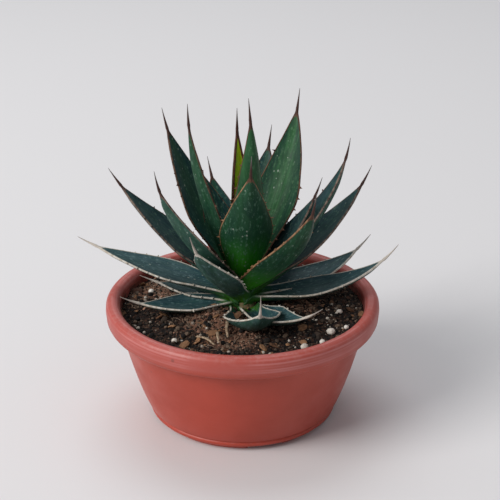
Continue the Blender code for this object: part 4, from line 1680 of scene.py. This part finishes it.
    def ripple(self, share: float) -> float:
        """Slight unevenness of the width along the leaf."""
        along = share * self.form.length / self.ripple_length
        return self.ripple_depth * noise.noise(Vector((along, self.seed * 3.7, 0.0)))

    def offsets(self, across: np.ndarray, face: np.ndarray, edge: np.ndarray, thick: float) -> np.ndarray:
        """Distance of each point of a section from its middle surface, positive on the upper side.

        Args:
            across: places across the blade.
            face: upper, lower or edge.
            edge: share of the half width that is horny.
            thick: thickness of the flesh at the midrib.

        Returns:
            The distances.
        """
        plant = self.plant
        level = np.abs(across)
        flat = np.clip(1 - level, 0, 1)
        keel = self.keel_sharpness * flat ** 0.95 + (1 - self.keel_sharpness) * (1 - (1 - flat) ** 2)
        bead = np.where(level > 1 - edge * 0.99, self.edge_bead, -0.08 * MM * (level > 0.01))
        body = plant.edge_thickness / 2 * np.where(level > 1 - edge * 0.35, 0.8, 1.0) + bead
        upper = body + 0.35 * MM * np.clip(1 - level ** 2, 0, 1)
        lower = -(body + thick * keel)
        return np.where(face > 0, upper, np.where(face < 0, lower, 0.0))

    def round_turns(self, count: int) -> np.ndarray:
        """Angles round the spine that match a blade section's points.

        Args:
            count: how many points a section has.

        Returns:
            The angles.
        """
        half = count // 2 - 1
        upper = math.pi * (1 - np.arange(1, half + 1) / (half + 1))
        return np.concatenate([[math.pi], upper, [0.0], -upper[::-1]])

    def label(self, labels: dict, share: float, across: np.ndarray, face: np.ndarray, wide: float,
              side: np.ndarray, past: float, in_blade: float) -> None:
        """Adds one row's attributes.

        Args:
            labels: the attribute rows so far.
            share: its share of the leaf's length.
            across: places across the blade.
            face: upper, lower or edge.
            wide: the blade's width.
            side: sideways direction.
            past: share along the spine.
            in_blade: share along the blade.
        """
        level = np.abs(across)
        from_edge = (1 - level) * wide / 2
        at_tip = float(smooth_step(self.horny_tip_from, 1.0, in_blade))
        reach = self.edge_width * self.horny_width_share + self.horny_tip * at_tip
        horn = 1 - np.clip((from_edge - reach) / self.horny_softness + 0.5, 0, 1)
        faded = float(smooth_step(0.0, 0.1, in_blade))
        labels["along"].append(np.full(len(across), share / self.blade_end()))
        labels["under"].append(np.where(face < 0, 1.0, np.where(face > 0, 0.0, 0.5)))
        labels["horn"].append(np.maximum(horn * faded, float(past > 0)))
        labels["middle"].append(1 - level)
        count = len(across)
        labels["surface"].append(np.stack([across * wide / 2 / MM, np.full(count, share * self.form.length),
                                           np.full(count, self.seed * 31.0)], axis=1))
        outward = np.sign(across)[:, None] * side[None, :]
        labels["outward"].append(outward + np.array(self.tooth_lean(share)))

    def tooth_lean(self, share: float) -> tuple[float, float, float]:
        """How the teeth lean from straight outwards."""
        return (0.0, 0.0, 0.25 * math.sin(self.seed * 1.9 + share * 9))

    def tuck(self, first: np.ndarray, heading: np.ndarray) -> list[np.ndarray]:
        """Rows that reach back and down the stem from the blade's first row.

        Args:
            first: the first row's points.
            heading: its heading.

        Returns:
            The rows, from the lowest.
        """
        back = np.array([0.0, 0.0, -1.0]) - heading
        back /= np.linalg.norm(back)
        steps = [self.plant.base_tuck * (self.tuck_rows - i) / self.tuck_rows for i in range(self.tuck_rows)]
        return [first + back * step for step in steps]

    def skin_of(self, rows: list[np.ndarray], labels: dict) -> Skin:
        """Joins the rows into a closed skin.

        Args:
            rows: the rows of points.
            labels: the rows of each attribute.

        Returns:
            The skin with its attributes.
        """
        count = len(rows[0])
        faces = [(r * count + i, r * count + (i + 1) % count, (r + 1) * count + (i + 1) % count,
                  (r + 1) * count + i) for r in range(len(rows) - 1) for i in range(count)]
        faces += [tuple(range(count))[::-1], tuple(range((len(rows) - 1) * count, len(rows) * count))]
        attributes = {name: np.concatenate(values) for name, values in labels.items()}
        return Skin(np.concatenate(rows), faces, attributes)

    def mark_edges(self, obj: bpy.types.Object) -> None:
        """Marks the edges of the blade that carry teeth.

        Args:
            obj: the leaf's object.
        """
        mesh = obj.data
        along = np.zeros(len(mesh.vertices))
        mesh.attributes["along"].data.foreach_get("value", along)
        surface = np.zeros(len(mesh.vertices) * 3)
        mesh.attributes["surface"].data.foreach_get("vector", surface)
        across = surface.reshape(-1, 3)[:, 0]
        under = np.zeros(len(mesh.vertices))
        mesh.attributes["under"].data.foreach_get("value", under)
        rim = (under == 0.5) & (along > self.toothed_from) & (along < self.toothed_to)
        edges = np.zeros(len(mesh.edges) * 2, int)
        mesh.edges.foreach_get("vertices", edges)
        first, second = edges.reshape(-1, 2).T
        marked = rim[first] & rim[second] & (across[first] * across[second] > 0)
        layer = mesh.attributes.new("toothed", "FLOAT", "EDGE")
        layer.data.foreach_set("value", marked.astype(np.float32))

    def build(self, teeth: ToothTool, material: bpy.types.Material) -> bpy.types.Object:
        """Makes the whole leaf.

        Args:
            teeth: the tree that sets teeth.
            material: the leaf's skin.

        Returns:
            The leaf's object.
        """
        blade = self.build_blade()
        recalculate(blade)
        self.mark_edges(blade)
        return teeth.apply(blade, self.form.node + "_leaf", {
            "Spacing": self.tooth_spacing, "Length": self.tooth_length,
            "Width": self.tooth_length * self.tooth_width_share, "Seed": self.seed, "Material": material})


LEAF_FORMS = (
    LeafForm("leaf_01_inner", 124, 88, 90, 124, 22, 150, 0, 0, Coat.HEART),
    LeafForm("leaf_02_inner", 298, 79, 102, 137, 26, 90, 0, 0, Coat.PAINTED_LIT_MIDDLE),
    LeafForm("leaf_03_upright_left", 203, 66, 90, 141, 26, 70, 0, 0, Coat.UPRIGHT),
    LeafForm("leaf_04_upright_right", 49, 50, 68, 146, 38, 50, 0, 24, Coat.PAINTED_LIT_MIDDLE),
    LeafForm("leaf_05_front", 278, 64, 78, 118, 41, 70, 0, 0, Coat.FRONT),
    LeafForm("leaf_06_back_left", 149, 54, 76, 136, 40, 50, 0, 0, Coat.UPRIGHT),
    LeafForm("leaf_07_back", 73, 49, 63, 119, 36, 50, 0, 0, Coat.UPRIGHT),
    LeafForm("leaf_08_left", 207, 43, 81, 117, 42, 70, 0, 0, Coat.MIDDLE),
    LeafForm("leaf_09_right_front", 312, 34, 84, 118, 46, 70, 0, 0, Coat.FRONT),
    LeafForm("leaf_10_back_left", 128, 57, 66, 99, 32, 60, 0, 0, Coat.UPRIGHT),
    LeafForm("leaf_11_right", 7, 48, 74, 97, 36, 60, 0, 0, Coat.MIDDLE),
    LeafForm("leaf_12_right", 10, 41, 83, 134, 32, 90, 0, 0, Coat.MIDDLE),
    LeafForm("leaf_13_back", 110, 42, 53, 105, 34, 60, 0, 0, Coat.UPRIGHT),
    LeafForm("leaf_14_left", 166, 34, 56, 127, 38, 60, 0, 0, Coat.MIDDLE),
    LeafForm("leaf_15_right", 18, 29, 66, 128, 38, 60, 0, 0, Coat.MIDDLE),
    LeafForm("leaf_16_front_left", 234, 38, 70, 84, 38, 70, 0, 0, Coat.LOW),
    LeafForm("leaf_17_back", 88, 28, 40, 108, 36, 60, 0, 0, Coat.MIDDLE),
    LeafForm("leaf_18_back", 56, 20, 32, 84, 34, 60, 0, 0, Coat.LOW),
    LeafForm("leaf_19_low_left", 169, 12, 26, 122, 36, 60, 0, 0, Coat.LOW),
    LeafForm("leaf_20_low_right", 356, 3, 56, 117, 34, 60, 0, 0, Coat.LOW),
    LeafForm("leaf_21_low_right", 27, -2, 46, 108, 34, 70, 0, 0, Coat.LOW),
    LeafForm("leaf_22_low_back_left", 133, -4, 12, 71, 30, 60, 0, 0, Coat.LOW),
    LeafForm("leaf_23_low_back", 94, 4, 22, 88, 34, 60, 0, 0, Coat.LOW),
    LeafForm("leaf_24_low_left", 196, -3, 32, 84, 32, 70, 0, 0, Coat.LOW),
    LeafForm("leaf_25_low_back_right", 55, -4, 6, 68, 28, 60, 0, 0, Coat.LOW),
    LeafForm("leaf_26_low_left", 162, 4, 16, 72, 28, 70, 0, 0, Coat.LOW),
    LeafForm("leaf_27_low_front_right", 296, 2, 42, 74, 32, 80, 0, 50, Coat.LOW),
    LeafForm("leaf_28_low_front", 281, -4, 98, 78, 46, 90, 0, 0, Coat.LOW),
)

LEAF_FINISHES = {
    # The heart leaves' very bright yellow-green is partly their own colour and partly painted light shining
    # through the thin leaves.
    Coat.HEART: LeafFinish(name="heart_leaf", upper=(0.50, 0.72, 0.012), lower=(0.02, 0.08, 0.02),
                           centre=(0.58, 0.80, 0.015), base=(0.45, 0.70, 0.012), mottled=0.0,
                           edge=(0.13, 0.05, 0.03),
                           edge_dark=(0.05, 0.02, 0.015), bloom_amount=0.0, base_reach=0.5),
    # The brighter green centre colour of these leaves is painted light, a lit band down the middle of the
    # blade.
    Coat.PAINTED_LIT_MIDDLE: LeafFinish(name="painted_lit_middle_leaf", upper=(0.006, 0.040, 0.022), lower=(0.022, 0.090, 0.030),
                             centre=(0.010, 0.098, 0.016), edge=(0.16, 0.075, 0.045),
                             edge_dark=(0.06, 0.026, 0.018), freckle=(0.09, 0.20, 0.10)),
    Coat.UPRIGHT: LeafFinish(name="upright_leaf", edge=(0.13, 0.07, 0.045), edge_dark=(0.045, 0.03, 0.02)),
    Coat.FRONT: LeafFinish(name="front_leaf", lower=(0.010, 0.050, 0.021), base=(0.045, 0.33, 0.002),
                           edge=(0.30, 0.17, 0.09), edge_dark=(0.11, 0.045, 0.025), bloom_amount=0.04,
                           base_reach=0.52, mottled=0.7),
    Coat.MIDDLE: LeafFinish(name="middle_leaf", upper=(0.016, 0.045, 0.055), lower=(0.016, 0.058, 0.036),
                            centre=(0.020, 0.062, 0.058), edge=(0.20, 0.15, 0.12),
                             edge_dark=(0.06, 0.04, 0.035),
                            bloom_amount=0.14),
    Coat.LOW: LeafFinish(name="low_leaf", upper=(0.018, 0.056, 0.070), lower=(0.024, 0.065, 0.045),
                         centre=(0.024, 0.066, 0.070), edge=(0.62, 0.59, 0.53), edge_dark=(0.40, 0.35, 0.28),
                         spine=(0.55, 0.50, 0.44), tip=(0.33, 0.29, 0.26), bloom_amount=0.2, base_reach=0.16,
                         freckle=(0.15, 0.25, 0.26), mottled=0.65),
}

EDGE_WIDTHS = {Coat.HEART: 1.7 * MM, Coat.PAINTED_LIT_MIDDLE: 0.7 * MM, Coat.UPRIGHT: 0.6 * MM, Coat.FRONT: 0.95 * MM,
               Coat.MIDDLE: 0.7 * MM, Coat.LOW: 1.0 * MM}

LEAF_SLOTS = ("young_leaf", "leaf", "old_leaf")


# ---- the stage -----------------------------------------------------------------------------------

@dataclass
class Studio:
    """Pale floor, soft light and the camera."""

    pitch: float = 23.4
    distance: float = 938 * MM
    target: Vector = field(default_factory=lambda: Vector((5.4 * MM, 0.0, 126.7 * MM)))
    lens: float = 93.6
    floor_size: float = 8.0
    floor_colour: Colour = (0.74, 0.73, 0.74)
    sky: Colour = (0.96, 0.97, 1.0)
    sky_strength: float = 0.335

    def build(self) -> None:
        """Makes the floor, the lights, the sky and the camera."""
        self.build_floor()
        self.build_sky()
        self.build_light("key", Vector((-3.0, -1.7, 2.4)), 2.2, 142.0, (1.0, 0.975, 0.95))
        self.build_light("top", Vector((-0.3, 1.2, 2.6)), 2.0, 26.0, (0.95, 0.98, 1.0))
        self.build_camera()
        bpy.context.scene.view_settings.view_transform = "Standard"

    def build_floor(self) -> None:
        """Makes the floor."""
        half = self.floor_size / 2
        corners = np.array([(-half, -half, 0), (half, -half, 0), (half, half, 0), (-half, half, 0)], float)
        floor = Skin(corners, [(0, 1, 2, 3)]).to_object("floor", smooth=False)
        made = bpy.data.materials.new("pale_floor")
        made.use_nodes = True
        shader = made.node_tree.nodes["Principled BSDF"]
        shader.inputs["Base Color"].default_value = (*self.floor_colour, 1.0)
        shader.inputs["Roughness"].default_value = 0.9
        shader.inputs["Specular IOR Level"].default_value = 0.2
        dress(floor, made)
        floor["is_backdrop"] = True

    def build_sky(self) -> None:
        """Sets the even light from all round."""
        world = bpy.data.worlds.new("soft_room")
        world.use_nodes = True
        back = world.node_tree.nodes["Background"]
        back.inputs["Color"].default_value = (*self.sky, 1.0)
        back.inputs["Strength"].default_value = self.sky_strength
        bpy.context.scene.world = world

    def build_light(self, name: str, place: Vector, size: float, power: float, colour: Colour) -> None:
        """Makes one square soft light aimed at the plant.

        Args:
            name: the light's name.
            place: where it hangs.
            size: its side.
            power: its power in watts.
            colour: its colour.
        """
        data = bpy.data.lights.new(name, "AREA")
        data.size = size
        data.energy = power
        data.color = colour
        obj = link(bpy.data.objects.new(name, data))
        obj.location = place
        obj.rotation_euler = (self.target - place).to_track_quat("-Z", "Y").to_euler()

    def build_camera(self) -> None:
        """Makes the camera and gives it to the scene."""
        data = bpy.data.cameras.new("camera")
        data.lens = self.lens
        data.sensor_width = 36.0
        camera = link(bpy.data.objects.new("camera", data))
        tilt = math.radians(self.pitch)
        camera.location = self.target + Vector((0.0, -math.cos(tilt), math.sin(tilt))) * self.distance
        camera.rotation_euler = (math.pi / 2 - tilt, 0.0, 0.0)
        bpy.context.scene.camera = camera


def corners() -> list[list[float]]:
    """Lowest and highest corner of what is shown, as plain lists."""
    return [list(corner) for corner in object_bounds()]


def build_plant(frame: dict, mix: PottingMix, effects: SharedEffects) -> None:
    """Makes every leaf, the heart and the stem's finish.

    Args:
        frame: the loaded frame.
        mix: the potting mix.
        effects: the shared node groups.
    """
    plant = Rosette(soil_level=mix.level(), forms=LEAF_FORMS)
    finishes = {coat: finish.build(effects) for coat, finish in LEAF_FINISHES.items()}
    teeth = ToothTool()
    for index, form in enumerate(LEAF_FORMS):
        leaf = Leaf(form, plant, plant.start_of(index), seed=index + 1, edge_width=EDGE_WIDTHS[form.coat])
        obj = leaf.build(teeth, finishes[form.coat])
        settle(obj, LEAF_SLOTS[index * len(LEAF_SLOTS) // len(LEAF_FORMS)], form.node)
    plant.build_bud(finishes[Coat.HEART])
    stem = frame["nodes"]["stem_and_roots"]
    root_skin = FibreFinish(name="root_skin", light=(0.30, 0.24, 0.13), dark=(0.10, 0.07, 0.03))
    dress(stem, root_skin.build(effects))


def main() -> None:
    """Builds the model piece by piece, then the stage."""
    logging.basicConfig(level=logging.INFO, format="%(name)s: %(message)s")
    for obj in list(bpy.data.objects):
        bpy.data.objects.remove(obj, do_unlink=True)
    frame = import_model()
    effects = SharedEffects()
    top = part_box("pot")[1]
    bowl = Bowl(radius=top.x, height=top.z)
    bowl.dress(bowl.build(), PlasticFinish().build(effects))
    mix = PottingMix(bowl)
    materials = {
        "mix": SoilFinish().build(effects),
        "grit": GrainFinish(name="dark_grit", light=(0.19, 0.13, 0.09), dark=(0.006, 0.005, 0.005),
                            rarity=3.2).build(effects),
        "crumbs": GrainFinish(name="dry_crumbs", light=(0.42, 0.235, 0.16), dark=(0.07, 0.031, 0.020),
                              rarity=1.3).build(effects),
        "bark": GrainFinish(name="bark", light=(0.34, 0.18, 0.09), dark=(0.045, 0.018, 0.011),
                            rarity=1.4).build(effects),
        "pale": GrainFinish(name="pale_grit", light=(0.62, 0.57, 0.5), dark=(0.25, 0.2, 0.16)).build(effects),
        "fibre": FibreFinish(name="mix_fibre", light=(0.46, 0.34, 0.25),
                             dark=(0.12, 0.07, 0.045)).build(effects),
    }
    mix.build(ScatterTool(), StrandTool(), materials)
    white = GrainFinish(name="pumice", light=(0.78, 0.74, 0.68), dark=(0.55, 0.48, 0.4), pores=700.0)
    Pumice([f"pumice_{index}" for index in range(1, 9)]).build(white.build(effects))
    dry = FibreFinish().build(effects)
    for strip in (DryStrip("dry_strip_1", (34 * MM, 251), (58 * MM, 260), 5 * MM),
                  DryStrip("dry_strip_2", (46 * MM, 246), (65 * MM, 256), 4 * MM),
                  DryStrip("dry_strip_3", (57 * MM, 236), (67 * MM, 254), 3 * MM)):
        strip.build(mix, dry)
    build_plant(frame, mix, effects)
    Studio().build()


if __name__ == "__main__":
    main()
